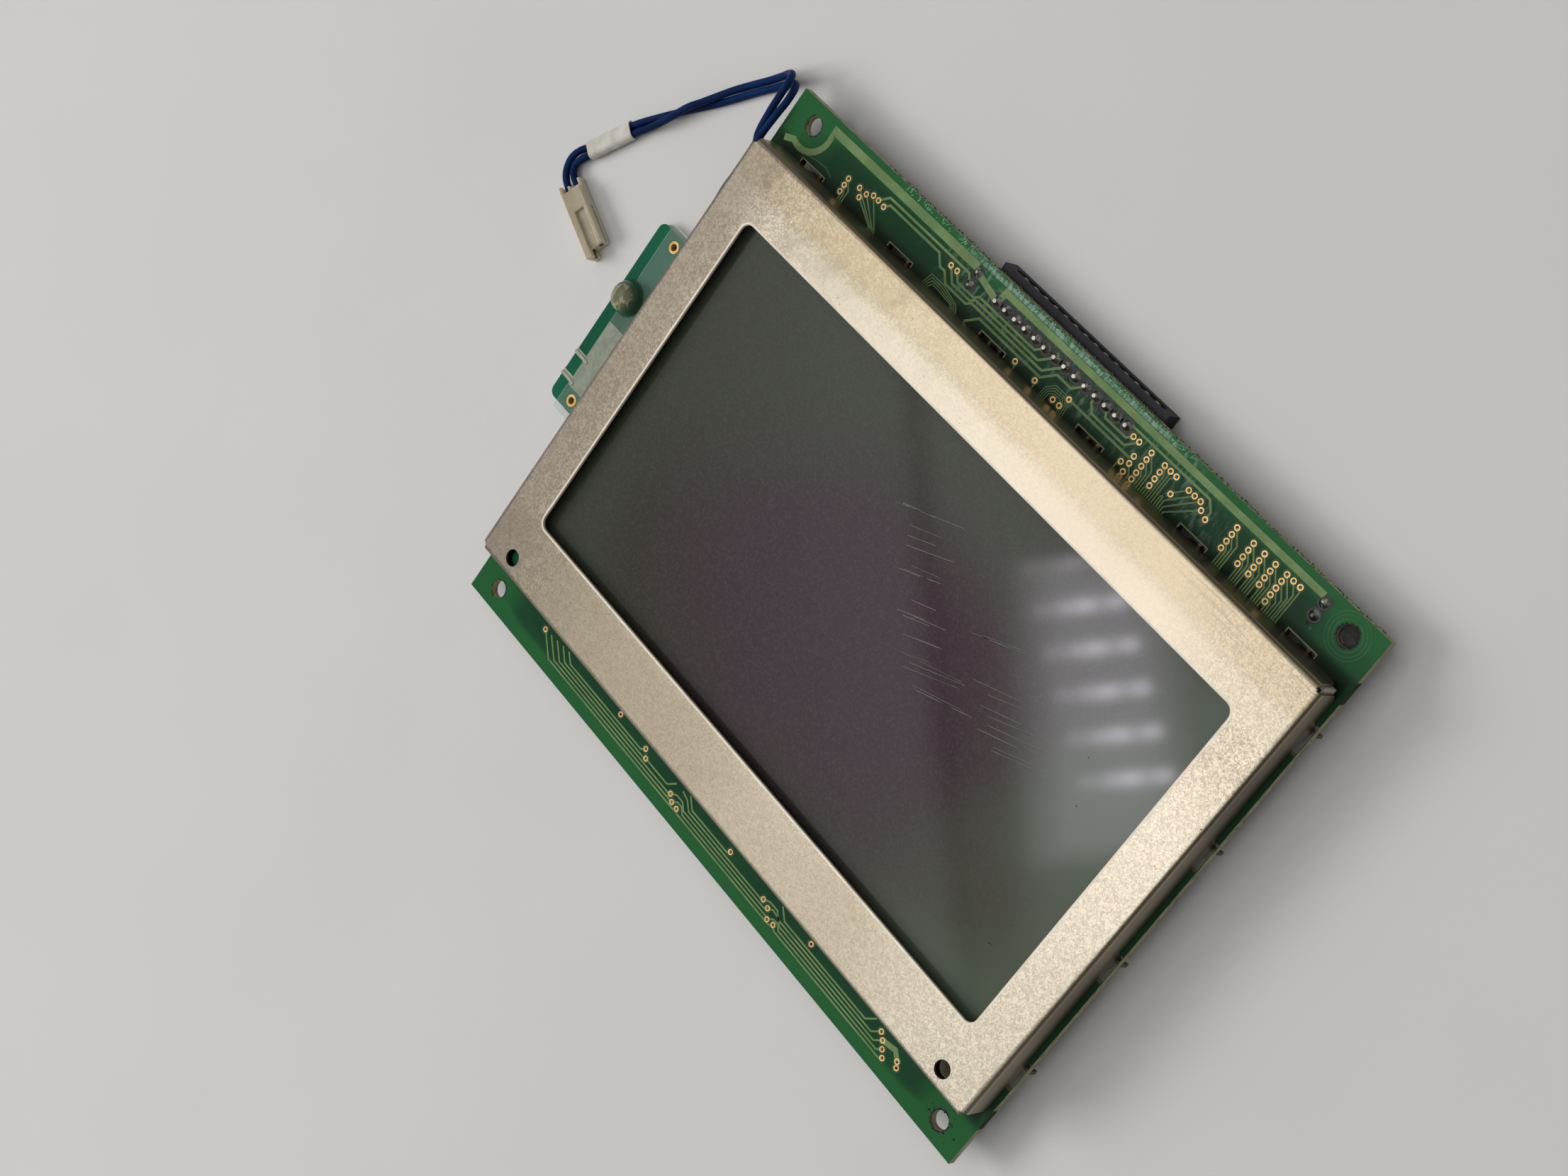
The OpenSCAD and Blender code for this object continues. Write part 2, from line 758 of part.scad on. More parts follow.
module marker_sleeve() {
    color("#dcdad2")
        translate(lead_from + sleeve_at)
            rotate([90, 0, sleeve_yaw - 90])
                linear_extrude(sleeve_l, center = true)
                    difference() {
                        twin_outline(sleeve_bore_d + 2 * sleeve_t);
                        twin_outline(sleeve_bore_d);
                    }
}

// The plug's own frame: X from its rear to its front, Z up from what it lies on
module at_plug() {
    translate(lead_from + plug_at) rotate(plug_yaw) children();
}

module tunnels(from, to, w, h) {
    for (s = [-1, 1])
        translate([from, s * plug_pitch / 2 - w / 2, tunnel_z - h / 2]) cube([to - from, w, h]);
}

module plug_housing() {
    inner_w = plug_w - 2 * plug_wall;
    tongue_to = tongue_w - plug_w / 2;
    color("#cfc4a4")
        at_plug()
            difference() {
                translate([0, -plug_w / 2, 0]) cube([plug_l, plug_w, plug_h]);
                tunnels(-cut, crimp_to + cut, tunnel_w, tunnel_h);
                tunnels(crimp_to, plug_l + cut, mouth_side, mouth_side);
                difference() {
                    translate([-cut, -inner_w / 2, tunnel_z]) cube([rear_cut_l + cut, inner_w, plug_h]);
                    translate([partition_from, -partition_t / 2, 0]) cube([plug_l, partition_t, 2 * plug_h]);
                }
                translate([-cut, inner_w / 2 - plug_wall, low_wall_h]) cube([rear_cut_l + cut, plug_w, plug_h]);
                translate([groove_from, tongue_to, groove_bed])
                    cube([plug_l, plug_w / 2 - rail_w - tongue_to, plug_h]);
                translate([groove_from, plug_w / 2 - side_groove_t, side_groove_z])
                    cube([plug_l, plug_w, side_groove_h]);
                translate([plug_l - tongue_l, tongue_to, -cut]) cube([plug_l, plug_w, plug_h + 2 * cut]);
            }
}

module crimp_terminals() {
    color("#c8c2b0") at_plug() tunnels(crimp_from, crimp_to, crimp_side, crimp_side);
}

main_board();
bezel();
gasket();
front_polariser();
front_glass();
rear_glass();
rear_polariser();
lamp_panel();
lamp_terminals();
tray();
upper_contact_strip();
lower_contact_strip();
header_body();
header_contacts();
header_joints();
spare_joints();
side_board();
side_board_eyelets();
resin_blob();
white_patch();
clear_film();
foam_pads();
controller_chip();
memory_chips();
column_driver_chips();
row_driver_chips();
amplifier_chip();
chip_capacitors();
chip_resistors();
wire_a();
wire_b();
marker_sleeve();
plug_housing();
crimp_terminals();
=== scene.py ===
"""Looks of a graphic display module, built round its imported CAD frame."""

import logging
import math
import random
from dataclasses import dataclass
from enum import Enum
from typing import Any, Callable, Iterator, Sequence

import bpy
from mathutils import Matrix, Vector


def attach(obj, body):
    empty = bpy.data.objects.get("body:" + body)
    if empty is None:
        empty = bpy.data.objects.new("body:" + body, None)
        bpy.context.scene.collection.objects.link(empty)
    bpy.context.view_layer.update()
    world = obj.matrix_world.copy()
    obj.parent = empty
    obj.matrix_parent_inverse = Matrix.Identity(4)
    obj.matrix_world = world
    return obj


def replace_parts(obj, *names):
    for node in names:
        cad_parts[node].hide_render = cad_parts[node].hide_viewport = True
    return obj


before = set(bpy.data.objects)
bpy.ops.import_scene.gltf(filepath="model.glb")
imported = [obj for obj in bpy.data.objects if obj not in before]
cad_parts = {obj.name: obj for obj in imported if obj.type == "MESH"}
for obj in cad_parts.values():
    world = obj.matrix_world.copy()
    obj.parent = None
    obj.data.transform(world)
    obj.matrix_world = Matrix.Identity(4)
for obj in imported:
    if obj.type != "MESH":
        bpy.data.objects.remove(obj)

log = logging.getLogger("display_module")

Point2 = tuple[float, float]
Point3 = tuple[float, float, float]
Colour = tuple[float, float, float, float]

MM = 0.001
BODY = "root"
FLOOR_Z = -3.8
BOARD_TOP = 1.6
SCREEN_Z = 5.8
WELD_GAP = 1e-6
EDGE_STEPS = 2
EDGE_ANGLE = math.radians(40)
HOLE: Point2 = (67.5, 54.0)
WAYS = 14
PITCH = 2.54
JOINT_FIRST = -16.51
JOINT_Y = 54.0
BLOB: Point2 = (-82.9, 4.7)
EYELETS: tuple[Point2, ...] = ((-80.8, 18.1), (-80.8, -18.1))


def tone(code: str) -> Colour:
    """Linear colour of a six-digit display code.

    Args:
        code: Red, green and blue as hexadecimal digits.

    Returns:
        The colour in linear light, with full alpha.
    """
    parts = [int(code[i:i + 2], 16) / 255 for i in (0, 2, 4)]
    red, green, blue = (p / 12.92 if p <= 0.04045 else ((p + 0.055) / 1.055) ** 2.4 for p in parts)
    return red, green, blue, 1.0


def operator(operation: str, swapped: bool = False) -> Callable[["Value", Any], "Value"]:
    """Makes the method behind one operator of a value.

    Args:
        operation: The Math node's operation.
        swapped: True for the reflected form, whose other side comes first.

    Returns:
        The method, which adds one Math node.
    """
    def method(self: "Value", other: "Value | float") -> "Value":
        """Adds the node."""
        first, second = (other, self) if swapped else (self, other)
        return self.sheet.node("ShaderNodeMath", {"operation": operation}, {0: first, 1: second})

    return method


class Value:
    """A socket in a node tree that takes part in Python expressions."""

    __add__, __radd__ = operator("ADD"), operator("ADD", swapped=True)
    __sub__, __rsub__ = operator("SUBTRACT"), operator("SUBTRACT", swapped=True)
    __mul__, __rmul__ = operator("MULTIPLY"), operator("MULTIPLY", swapped=True)
    __truediv__, __rtruediv__ = operator("DIVIDE"), operator("DIVIDE", swapped=True)
    __pow__, __rpow__ = operator("POWER"), operator("POWER", swapped=True)

    def __init__(self, sheet: "Sheet", socket: bpy.types.NodeSocket) -> None:
        """Keeps the socket and the sheet that new nodes go to."""
        self.sheet = sheet
        self.socket = socket

    def __abs__(self) -> "Value":
        """Size without sign."""
        return self.sheet.node("ShaderNodeMath", {"operation": "ABSOLUTE"}, {0: self})

    def rise(self, low: float, high: float) -> "Value":
        """Smooth step, which falls where low is above high.

        Args:
            low: Value at which the step is 0.
            high: Value at which the step is 1.

        Returns:
            A value from 0 to 1.
        """
        if low > high:
            return 1.0 - self.rise(high, low)
        return self.sheet.node("ShaderNodeMapRange", {"interpolation_type": "SMOOTHSTEP"},
                               {"Value": self, "From Min": low, "From Max": high})


class Sheet:
    """The node tree of one material or of the world."""

    def __init__(self, owner: bpy.types.Material | bpy.types.World) -> None:
        """Opens the owner's node tree."""
        owner.use_nodes = True
        self.tree = owner.node_tree
        self.shader = self.tree.nodes.get("Principled BSDF")
        self._axes: tuple[Value, ...] = ()

    def node(self, kind: str, settings: dict[str, Any] | None = None,
             sockets: dict[str | int, Any] | None = None, output: str | int = 0) -> Value:
        """Adds any node.

        Args:
            kind: Blender's name of the node type.
            settings: Properties of the node, set first.
            sockets: Values or links of its input sockets.
            output: The output to return.

        Returns:
            The chosen output.
        """
        made = self.tree.nodes.new(kind)
        for key, value in (settings or {}).items():
            setattr(made, key, value)
        for key, value in (sockets or {}).items():
            self.feed(made.inputs[key], value)
        return Value(self, made.outputs[output])

    def feed(self, socket: bpy.types.NodeSocket, value: Any) -> None:
        """Links a value to a socket, or sets the socket's own number or colour."""
        if isinstance(value, Value):
            self.tree.links.new(value.socket, socket)
        else:
            socket.default_value = tone(value) if isinstance(value, str) else value

    def paint(self, **sockets: Any) -> None:
        """Feeds the shader; a name's underscores stand for blanks."""
        for key, value in sockets.items():
            name = key.replace("_", " ").title().replace("Ior", "IOR")
            self.feed(self.shader.inputs[name], value)

    def where(self) -> Value:
        """The point on the surface, in metres."""
        return self.node("ShaderNodeTexCoord", output="Object")

    def axes(self) -> tuple[Value, ...]:
        """The point's x, y and z in millimetres."""
        if not self._axes:
            split = self.node("ShaderNodeSeparateXYZ", sockets={0: self.where()})
            self._axes = tuple(Value(self, s) / MM for s in split.socket.node.outputs)
        return self._axes

    def apart(self, place: Point2) -> Value:
        """Squared distance of the point from a place on the plan, in square millimetres."""
        x, y, _ = self.axes()
        return (x - place[0]) ** 2.0 + (y - place[1]) ** 2.0

    def facing(self, axis: int) -> Value:
        """One component of the surface's own normal."""
        normal = self.node("ShaderNodeNewGeometry", output="Normal")
        return self.node("ShaderNodeSeparateXYZ", sockets={0: normal}, output=axis)

    def grain(self, size: float, detail: float = 2.0, bend: float = 0.0,
              stretch: Point3 = (1.0, 1.0, 1.0), lift: float = 0.5) -> Value:
        """Noise from 0 to 1.

        Args:
            size: Size of one feature, in millimetres.
            detail: Octaves.
            bend: Distortion.
            stretch: How much longer a feature is along each axis.
            lift: Roughness of the octaves.

        Returns:
            The noise's value.
        """
        scale = tuple(1 / (size * MM * s) for s in stretch)
        point = self.node("ShaderNodeVectorMath", {"operation": "MULTIPLY"},
                          {0: self.where(), 1: scale})
        return self.node("ShaderNodeTexNoise", sockets={
            "Vector": point, "Scale": 1.0, "Detail": detail, "Distortion": bend, "Roughness": lift})

    def ripple(self, along: Value, step: float) -> Value:
        """A wave between 0 and 1 that repeats every step, in millimetres."""
        turn = along * (2 * math.pi / step)
        return self.node("ShaderNodeMath", {"operation": "SINE"}, {0: turn}) * 0.5 + 0.5

    def mix(self, first: Any, second: Any, share: Value | float) -> Value:
        """Colour between two colours."""
        return self.node("ShaderNodeMix", {"data_type": "RGBA"}, {0: share, 6: first, 7: second},
                         output=2)

    def layers(self, base: Any, *coats: tuple[Any, Value | float]) -> Any:
        """Lays colours over a base in order, each by its own share."""
        for colour, share in coats:
            base = self.mix(base, colour, share)
        return base

    def bump(self, height: Value, distance: float, under: Value | None = None) -> Value:
        """Relief of a height map.

        Args:
            height: Heights from 0 to 1.
            distance: Height of the relief, in millimetres.
            under: A coarser relief that this one goes on.

        Returns:
            The normal.
        """
        sockets: dict[str | int, Any] = {"Height": height, "Distance": distance * MM,
                                         "Strength": 1.0}
        if under is not None:
            sockets["Normal"] = under
        return self.node("ShaderNodeBump", sockets=sockets)


class Finish:
    """A finish that dresses pieces; its material is made once."""

    name: str

    def dress(self, sheet: Sheet) -> None:
        """Fills the material's nodes."""
        raise NotImplementedError

    def material(self) -> bpy.types.Material:
        """The finish's material, made at its first use."""
        made = bpy.data.materials.get("finish_" + self.name)
        if made is None:
            made = bpy.data.materials.new("finish_" + self.name)
            self.dress(Sheet(made))
        return made


@dataclass(frozen=True)
class Moulded(Finish):
    """A moulded, cast or printed stuff with a fine grain and faint patches."""

    name: str
    light: str
    dark: str
    rough: float = 0.5
    grain_size: float = 0.25
    relief: float = 0.01
    patch_size: float = 6.0
    metal: float = 0.0
    specular: float = 0.5
    inner: float = 0.0
    # Tone of painted light on the sides, or empty for none.
    sides: str = ""

    def dress(self, sheet: Sheet) -> None:
        """Mixes two tones by patches and grain, roughens the surface, and may paint light on the
        sides.
        """
        patch = sheet.grain(self.patch_size, detail=4)
        fine = sheet.grain(self.grain_size, detail=3)
        colour = sheet.mix(self.light, self.dark, (patch * 0.75 + fine * 0.25).rise(0.34, 0.66))
        # Painted light: the sides are lightened towards their own tone.
        if self.sides:
            colour = sheet.mix(colour, self.sides, abs(sheet.facing(2)).rise(0.8, 0.3) * 0.8)
        sheet.paint(base_color=colour, roughness=self.rough + (fine - 0.5) * 0.16,
                    normal=sheet.bump(fine, self.relief), metallic=self.metal,
                    specular_ior_level=self.specular, subsurface_weight=self.inner,
                    subsurface_radius=(1.0, 0.85, 0.6), subsurface_scale=1.5 * MM)


@dataclass(frozen=True)
class BezelSteel(Finish):
    """Plated sheet steel with a worm-like satin grain, smoky patches, rubbed lines, and painted
    shade and reflection on its folds, walls, legs and side strips.
    """

    name: str = "bezel_steel"
    cream: str = "f0e6d0"
    taupe: str = "b9ac93"
    straw: str = "d8c496"
    smoke: str = "8f8474"
    # Rose tint of the plate, also used as painted reflection on the strip at negative x.
    rose_and_dim_reflection: str = "a6988a"
    shade_and_speck: str = "5d5143"

    def dress(self, sheet: Sheet) -> None:
        """Lays the grain, patches, rubbed lines and specks over the plate, with painted shade on
        the folds, walls and legs and painted reflection on the side strips.
        """
        x, y, z = sheet.axes()
        up = sheet.facing(2)
        face = up.rise(0.55, 0.97)
        right, left = x.rise(40.0, 64.0), x.rise(-40.0, -64.0)
        near = y.rise(-33.0, -37.0)
        leftward = x.rise(20.0, -60.0)
        coarse = (left + y.rise(0.0, 37.0) * x.rise(20.0, -40.0)).rise(0.0, 0.9)
        bead = sheet.grain(0.55, detail=3, bend=1.2, lift=0.6)
        worm = bead + (sheet.grain(1.05, detail=3, bend=1.8, lift=0.6) - bead) * coarse
        fine = sheet.grain(0.3, detail=2)
        cloud = sheet.grain(10.0, detail=5, bend=0.8)
        wash = sheet.grain(38.0, detail=3).rise(0.35, 0.65)
        grit = (worm * 0.75 + fine * 0.25).rise(0.38, 0.62)
        smoky = cloud.rise(0.5, 0.7) * leftward
        lines = sheet.grain(0.45, detail=2, stretch=(40.0, 1.0, 1.0)).rise(0.5, 0.6)
        spotted = (sheet.grain(9.0, detail=2).rise(0.5, 0.62) * 0.6
                   + x.rise(67.5, 71.0) * y.rise(-30.0, -5.0))
        speck = sheet.grain(0.6, detail=1).rise(0.7, 0.76) * spotted
        plate = sheet.layers(
            self.taupe,
            (self.cream, grit * 0.7 + wash * 0.3),
            (self.straw, y.rise(38.5, 42.5) * (0.25 + cloud * 0.4)),
            (self.cream, y.rise(41.5, 38.5) * y.rise(33.0, 35.0) * 0.6),
            (self.smoke, smoky * 0.22),
            # Painted reflection: the strips at positive x are lightened towards cream, as if
            # mirroring the bright ceiling.
            (self.cream, right * y.rise(30.0, 12.0) * 0.65),
            (self.taupe, y.rise(33.0, 36.0) * x.rise(-10.0, 30.0) * 0.35),
            (self.taupe, near * x.rise(60.0, 35.0) * 0.45),
            (self.smoke, near * leftward * 0.3),
            # Partly a rose tint of the plate, partly painted reflection: the strip at negative x is
            # dimmed as if mirroring a dimmer sky.
            (self.rose_and_dim_reflection, x.rise(-56.0, -69.0) * 0.7),
            (self.smoke, (1.0 - grit) * (left * 0.55 + right * 0.45)),
            (self.smoke, lines * y.rise(42.0, 45.0) * x.rise(28.0, 62.0) * 0.5))
        steel = sheet.layers(
            # Painted shade: the walls take a darker smoke-and-taupe tone than the face of the same
            # sheet.
            sheet.mix(self.smoke, self.taupe, wash),
            (plate, face),
            # Painted shade: the bends between the face and the walls are darkened.
            (self.shade_and_speck, up.rise(0.25, 0.5) * up.rise(0.98, 0.8) * 0.75),
            (self.shade_and_speck, speck * face * 0.8),
            # Painted shade: the legs below the board are darkened.
            (self.shade_and_speck, z.rise(1.7, 1.2) * 0.85))
        sheet.paint(base_color=steel, metallic=0.95,
                    roughness=0.34 + face * (worm * 0.14 - 0.06) + smoky * 0.1,
                    normal=sheet.bump(fine, 0.002, sheet.bump(worm, 0.01)))


@dataclass(frozen=True)
class SolderMask(Finish):
    """Green mask on a glass-fibre board: brighter at the rim and deeper inward, partly painted
    shade of the bezel, and dulled where it was handled.
    """

    name: str
    bright: str
    deep: str
    haze: str
    fibre: str = "a8a083"
    # Tone of the painted shade at the bezel's foot and in the slots.
    painted_shade_tone: str = "0b0d0a"
    hazy: float = 1.0
    rim: float = 58.0
    shade: float = 54.0

    def dress(self, sheet: Sheet) -> None:
        """Mixes the mask's tones with painted shade by the bezel, at its foot and in the slots,
        hatches the header edge, and bares fibre on the cut edges.
        """
        x, y, _ = sheet.axes()
        up = sheet.facing(2)
        side = abs(up).rise(0.7, 0.3)
        # Brighter green towards the rim and the corners, deeper green inward; by the bezel the
        # deeper field is partly painted shade.
        corner = abs(x).rise(58.0, 66.0) * abs(y).rise(48.5, 51.0) * self.hazy
        rim = (abs(y).rise(self.shade, self.rim - 1.5) + corner * 0.8).rise(0.0, 1.0)
        # Sets the contact ends that show in the front face, with painted highlight as their pale
        # tone.
        cloud = sheet.grain(7.0, detail=4)
        streak = sheet.grain(0.8, detail=3, stretch=(1.0, 3.0, 1.0)).rise(0.45, 0.7)
        handled = x.rise(-40.0, -22.0) * x.rise(46.0, 34.0) * y.rise(47.5, 50.0)
        worn = streak * sheet.grain(9.0, detail=2).rise(0.4, 0.6) * handled * (self.hazy * 0.5)
        strokes = sheet.grain(0.45, detail=2, stretch=(1.0, 3.0, 1.0), bend=0.4).rise(0.4, 0.62)
        band = (y.rise(56.75, 56.95) * y.rise(57.75, 57.5)
                * x.rise(-26.0, -20.0) * x.rise(28.0, 20.0))
        # Painted shade: the mask darkens towards black at the bezel's foot.
        foot = abs(y).rise(50.4, 47.7) * abs(x).rise(73.0, 72.0) * up.rise(0.3, 0.7)
        # Painted shade: the cut faces of the slots are darkened.
        slot = abs(y).rise(45.0, 45.5) * abs(y).rise(50.0, 49.5)
        thread = sheet.grain(0.35, detail=3, stretch=(4.0, 4.0, 0.5))
        weave = sheet.grain(0.5, detail=2, stretch=(1.0, 2.0, 1.0))
        mask = sheet.layers(
            self.deep,
            (self.bright, rim * 0.7 + cloud * 0.35),
            (self.haze, worn + band * (0.25 + strokes * 0.65) * self.hazy),
            (self.painted_shade_tone, foot * 0.75 * self.hazy))
        edge = sheet.layers(
            self.fibre, (self.deep, thread.rise(0.45, 0.75)), (self.painted_shade_tone, slot * 0.9))
        sheet.paint(base_color=sheet.mix(mask, edge, side), specular_ior_level=0.12,
                    roughness=0.3 + worn * 0.25 + side * 0.4 + cloud * 0.06,
                    normal=sheet.bump(thread * side + weave * 0.15, 0.03))


@dataclass(frozen=True)
class ScreenFilm(Finish):
    """Matt polarising film: grey-green, with painted reflections as a lilac haze, a paler green to
    the right and a dim brown stretch low down, and a soft gloss.
    """

    name: str = "screen_film"
    green: str = "31332a"
    pale: str = "434e40"
    # The next two tones are painted reflection: a lilac haze and a dim brown stretch.
    lilac: str = "321f2c"
    reflected_brown: str = "2d1c1a"
    thumb: Point2 = (58.0, 2.0)
    whorl: Point2 = (60.0, 3.0)

    def dress(self, sheet: Sheet) -> None:
        """Spreads the painted reflections (the lilac haze, the paler green to the right and the
        brown stretch), the matt grain and a fingerprint.
        """
        x, y, _ = sheet.axes()
        drift = sheet.grain(30.0, detail=3)
        across = ((x - 4.0) / 54.0) ** 2.0 + ((y + 7.0) / 38.0) ** 2.0
        # Painted reflection: a lilac haze over the middle of the film.
        haze = (across + (drift - 0.5) * 0.9).rise(1.1, 0.1)
        # Painted reflection: a paler green towards the right.
        right = ((x - y * 0.3) + (drift - 0.5) * 30.0).rise(22.0, 64.0)
        # Painted reflection: a dim brown stretch low down.
        low = (across + (drift - 0.5)).rise(1.6, 0.7) * (1.0 - haze) * y.rise(10.0, -30.0)
        matt = sheet.grain(0.5, detail=3)
        ridge = sheet.ripple(sheet.apart(self.whorl) ** 0.5 + drift * 6.0, 0.55)
        touched = sheet.apart(self.thumb).rise(80.0, 30.0)
        film = sheet.layers(
            self.green,
            (self.pale, right),
            (self.lilac, haze),
            (self.reflected_brown, low * 0.6),
            (self.pale, matt.rise(0.4, 0.75) * 0.3),
            (self.pale, ridge * touched * matt.rise(0.35, 0.6) * 0.5))
        sheet.paint(base_color=film, roughness=0.42 + matt * 0.1, normal=sheet.bump(matt, 0.001),
                    specular_ior_level=0.1, coat_weight=0.6, coat_roughness=0.05)


@dataclass(frozen=True)
class ClearSheet(Finish):
    """Clear film or glass that lets what is under it show."""

    name: str
    colour: str
    alpha: float
    rough: float = 0.15
    bare: tuple[Point2, ...] = ()
    dusty: str = "e8ebe6"

    def dress(self, sheet: Sheet) -> None:
        """Sets the see-through share, clearer over bare places, and a faint waviness."""
        wave = sheet.grain(3.0, detail=2)
        dust = sheet.grain(0.6, detail=3).rise(0.62, 0.8)
        seen = dust * 0.05 + self.alpha if self.bare else self.alpha
        for place in self.bare:
            seen = seen * (sheet.apart(place) ** 0.5).rise(1.1, 1.5)
        sheet.paint(base_color=sheet.mix(self.colour, self.dusty, dust * 0.4), alpha=seen,
                    roughness=self.rough + dust * 0.3, normal=sheet.bump(wave, 0.03))


@dataclass(frozen=True)
class Jacket(Finish):
    """Blue insulation of the lamp wires, with a soft gloss."""

    name: str = "wire_jacket"
    blue: str = "082856"
    navy: str = "001234"

    def dress(self, sheet: Sheet) -> None:
        """Varies the blue along the wire and dulls it in patches."""
        drift = sheet.grain(5.0, detail=3)
        fine = sheet.grain(0.3, detail=2)
        blend = (drift * 0.7 + fine * 0.3).rise(0.3, 0.7)
        sheet.paint(base_color=sheet.mix(self.navy, self.blue, blend), specular_ior_level=0.1,
                    roughness=0.42 + fine * 0.12, normal=sheet.bump(fine, 0.008))


@dataclass(frozen=True)
class Resin(Finish):
    """Clear olive resin with the parts below it faintly showing, and painted highlights in it."""

    name: str = "resin"
    rim: str = "2b4f39"
    olive: str = "5c5f43"
    # Tone of the painted highlight streaks.
    pale: str = "a09470"

    def dress(self, sheet: Sheet) -> None:
        """Shows an olive heart, which on the upward faces is partly painted reflection, and pale
        curls that are painted highlights, under a clear coat.
        """
        x, y, _ = sheet.axes()
        out = sheet.apart(BLOB) ** 0.5
        seen = sheet.grain(1.7, detail=3, bend=1.2)
        heart_and_sheen = (out + (seen - 0.5) * 2.0).rise(3.1, 1.7)
        painted_streaks = sheet.ripple(x * 0.6 - y * 0.3 + seen * 5.0, 2.3) ** 5.0
        body = sheet.layers(
            self.rim,
            # Partly painted reflection: the olive heart shows only on the upward faces.
            (self.olive, heart_and_sheen * sheet.facing(2).rise(0.25, 0.85)),
            # Painted highlight: pale streaks inside the dome.
            (self.pale, painted_streaks * out.rise(2.9, 2.2) * 0.85))
        sheet.paint(base_color=body, roughness=0.25 + seen * 0.1,
                    normal=sheet.bump(sheet.grain(1.2), 0.05),
                    specular_ior_level=0.2, coat_weight=0.6, coat_roughness=0.12)


class Stuff(Enum):
    """Finishes of the pieces."""

    STEEL = BezelSteel()
    # The window's sheared edge; its bright cream, less metallic tone is partly painted highlight.
    LIP = Moulded("window_lip", "e9e0cd", "d6cbb4", rough=0.4, patch_size=3.0, metal=0.3)
    BOARD = SolderMask("board", "20582e", "0c301c", "7c9186")
    SIDE = SolderMask("side_board", "0f583e", "0b4832", "4f8a72", hazy=0.0, rim=24.0, shade=2.0)
    TRACE = Moulded("mask_trace", "6d8352", "5a7346", rough=0.4, grain_size=0.5, patch_size=4.0,
                    specular=0.25)
    RELIEF = Moulded("mask_relief", "3f6b51", "27553a", rough=0.4, patch_size=3.0, specular=0.25)
    GOLD = Moulded("gold_plate", "ebc98a", "cfa660", rough=0.35, patch_size=1.5, metal=0.5)
    BORE = Moulded("via_bore", "16140f", "070604", rough=0.7)
    # The dark tone partly stands for painted dark reflections in the joints.
    SOLDER = Moulded("solder", "cfcdc8", "5e5c57", rough=0.22, grain_size=0.5, relief=0.05,
                     patch_size=0.9, metal=1.0)
    FLUX = Moulded("flux_stain", "141a14", "070b08", rough=0.35, patch_size=0.8)
    RESIDUE = Moulded("black_residue", "141512", "060605", rough=0.7, grain_size=0.4, relief=0.05)
    BARE = Moulded("bare_fibre", "7d7c60", "626249", rough=0.6, patch_size=1.5)
    SCUFF = Moulded("mask_scuff", "8fb59d", "5f8f74", rough=0.6, patch_size=2.0)
    SCREEN = ScreenFilm()
    SCRATCH = Moulded("film_scratch", "7d7f78", "62645d")
    RUBBER = Moulded("gasket_rubber", "101010", "040404", rough=0.75, specular=0.2)
    GLASS = ClearSheet("panel_glass", "cfdcd6", 0.3, 0.05)
    REAR_FILM = Moulded("rear_film", "4b5049", "3a3f39", rough=0.4)
    LAMP = Moulded("lamp_film", "e2ebe0", "cfdacb")
    TIN = Moulded("tin_plate", "d4d0c6", "a9a498", rough=0.32, patch_size=2.0, metal=0.9)
    # Its pale tone on the contact ends is painted highlight.
    TIP = Moulded("contact_tip", "a3a89d", "7d8279", rough=0.45, patch_size=1.0)
    TRAY = Moulded("tray_plastic", "d2cfc0", "bdb8a4", rough=0.55)
    STRIP = Moulded("strip_rubber", "d9a59f", "c48a84", rough=0.7)
    HEADER = Moulded("header_plastic", "232228", "15151a", relief=0.02, specular=0.3)
    INK = Moulded("white_ink", "9a9c8a", "848876", rough=0.6, grain_size=0.5, relief=0.02,
                  patch_size=2.0)
    FILM = ClearSheet("clear_film", "8fa79c", 0.13, 0.3, bare=EYELETS)
    # Painted highlight on the clear film's edges.
    GLINT = Moulded("film_edge", "b9c4bd", "8fa39a", rough=0.3, patch_size=1.5)
    RESIN = Resin()
    FOAM = Moulded("grey_foam", "8a8d8b", "6c706d", rough=0.9, grain_size=0.4, relief=0.1)
    CHIP = Moulded("chip_plastic", "29292c", "1b1b1e", rough=0.55, relief=0.02)
    CAPACITOR = Moulded("capacitor", "b08d63", "947249", rough=0.45)
    RESISTOR = Moulded("resistor", "242427", "161618", rough=0.3)
    WIRE = Jacket()
    SLEEVE = Moulded("white_sleeve", "c6c2ba", "aca79c", patch_size=3.0)
    # Its pale sides are painted light, from the floor and through the nylon.
    NYLON = Moulded("plug_nylon", "a39886", "90866f", rough=0.42, grain_size=0.6, patch_size=5.0,
                    specular=0.3, inner=0.7, sides="cfc7b3")

    def material(self) -> bpy.types.Material:
        """The finish's material."""
        return self.value.material()


def linked(name: str, data: bpy.types.ID) -> bpy.types.Object:
    """Makes an object of some data and links it to the scene."""
    obj = bpy.data.objects.new(name, data)
    bpy.context.scene.collection.objects.link(obj)
    return obj


def settle(obj: bpy.types.Object, slot: str) -> bpy.types.Object:
    """Lets a new piece ride on the body and logs it with its slot."""
    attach(obj, BODY)
    log.info("piece %s in %s", obj.name, slot)
    return obj


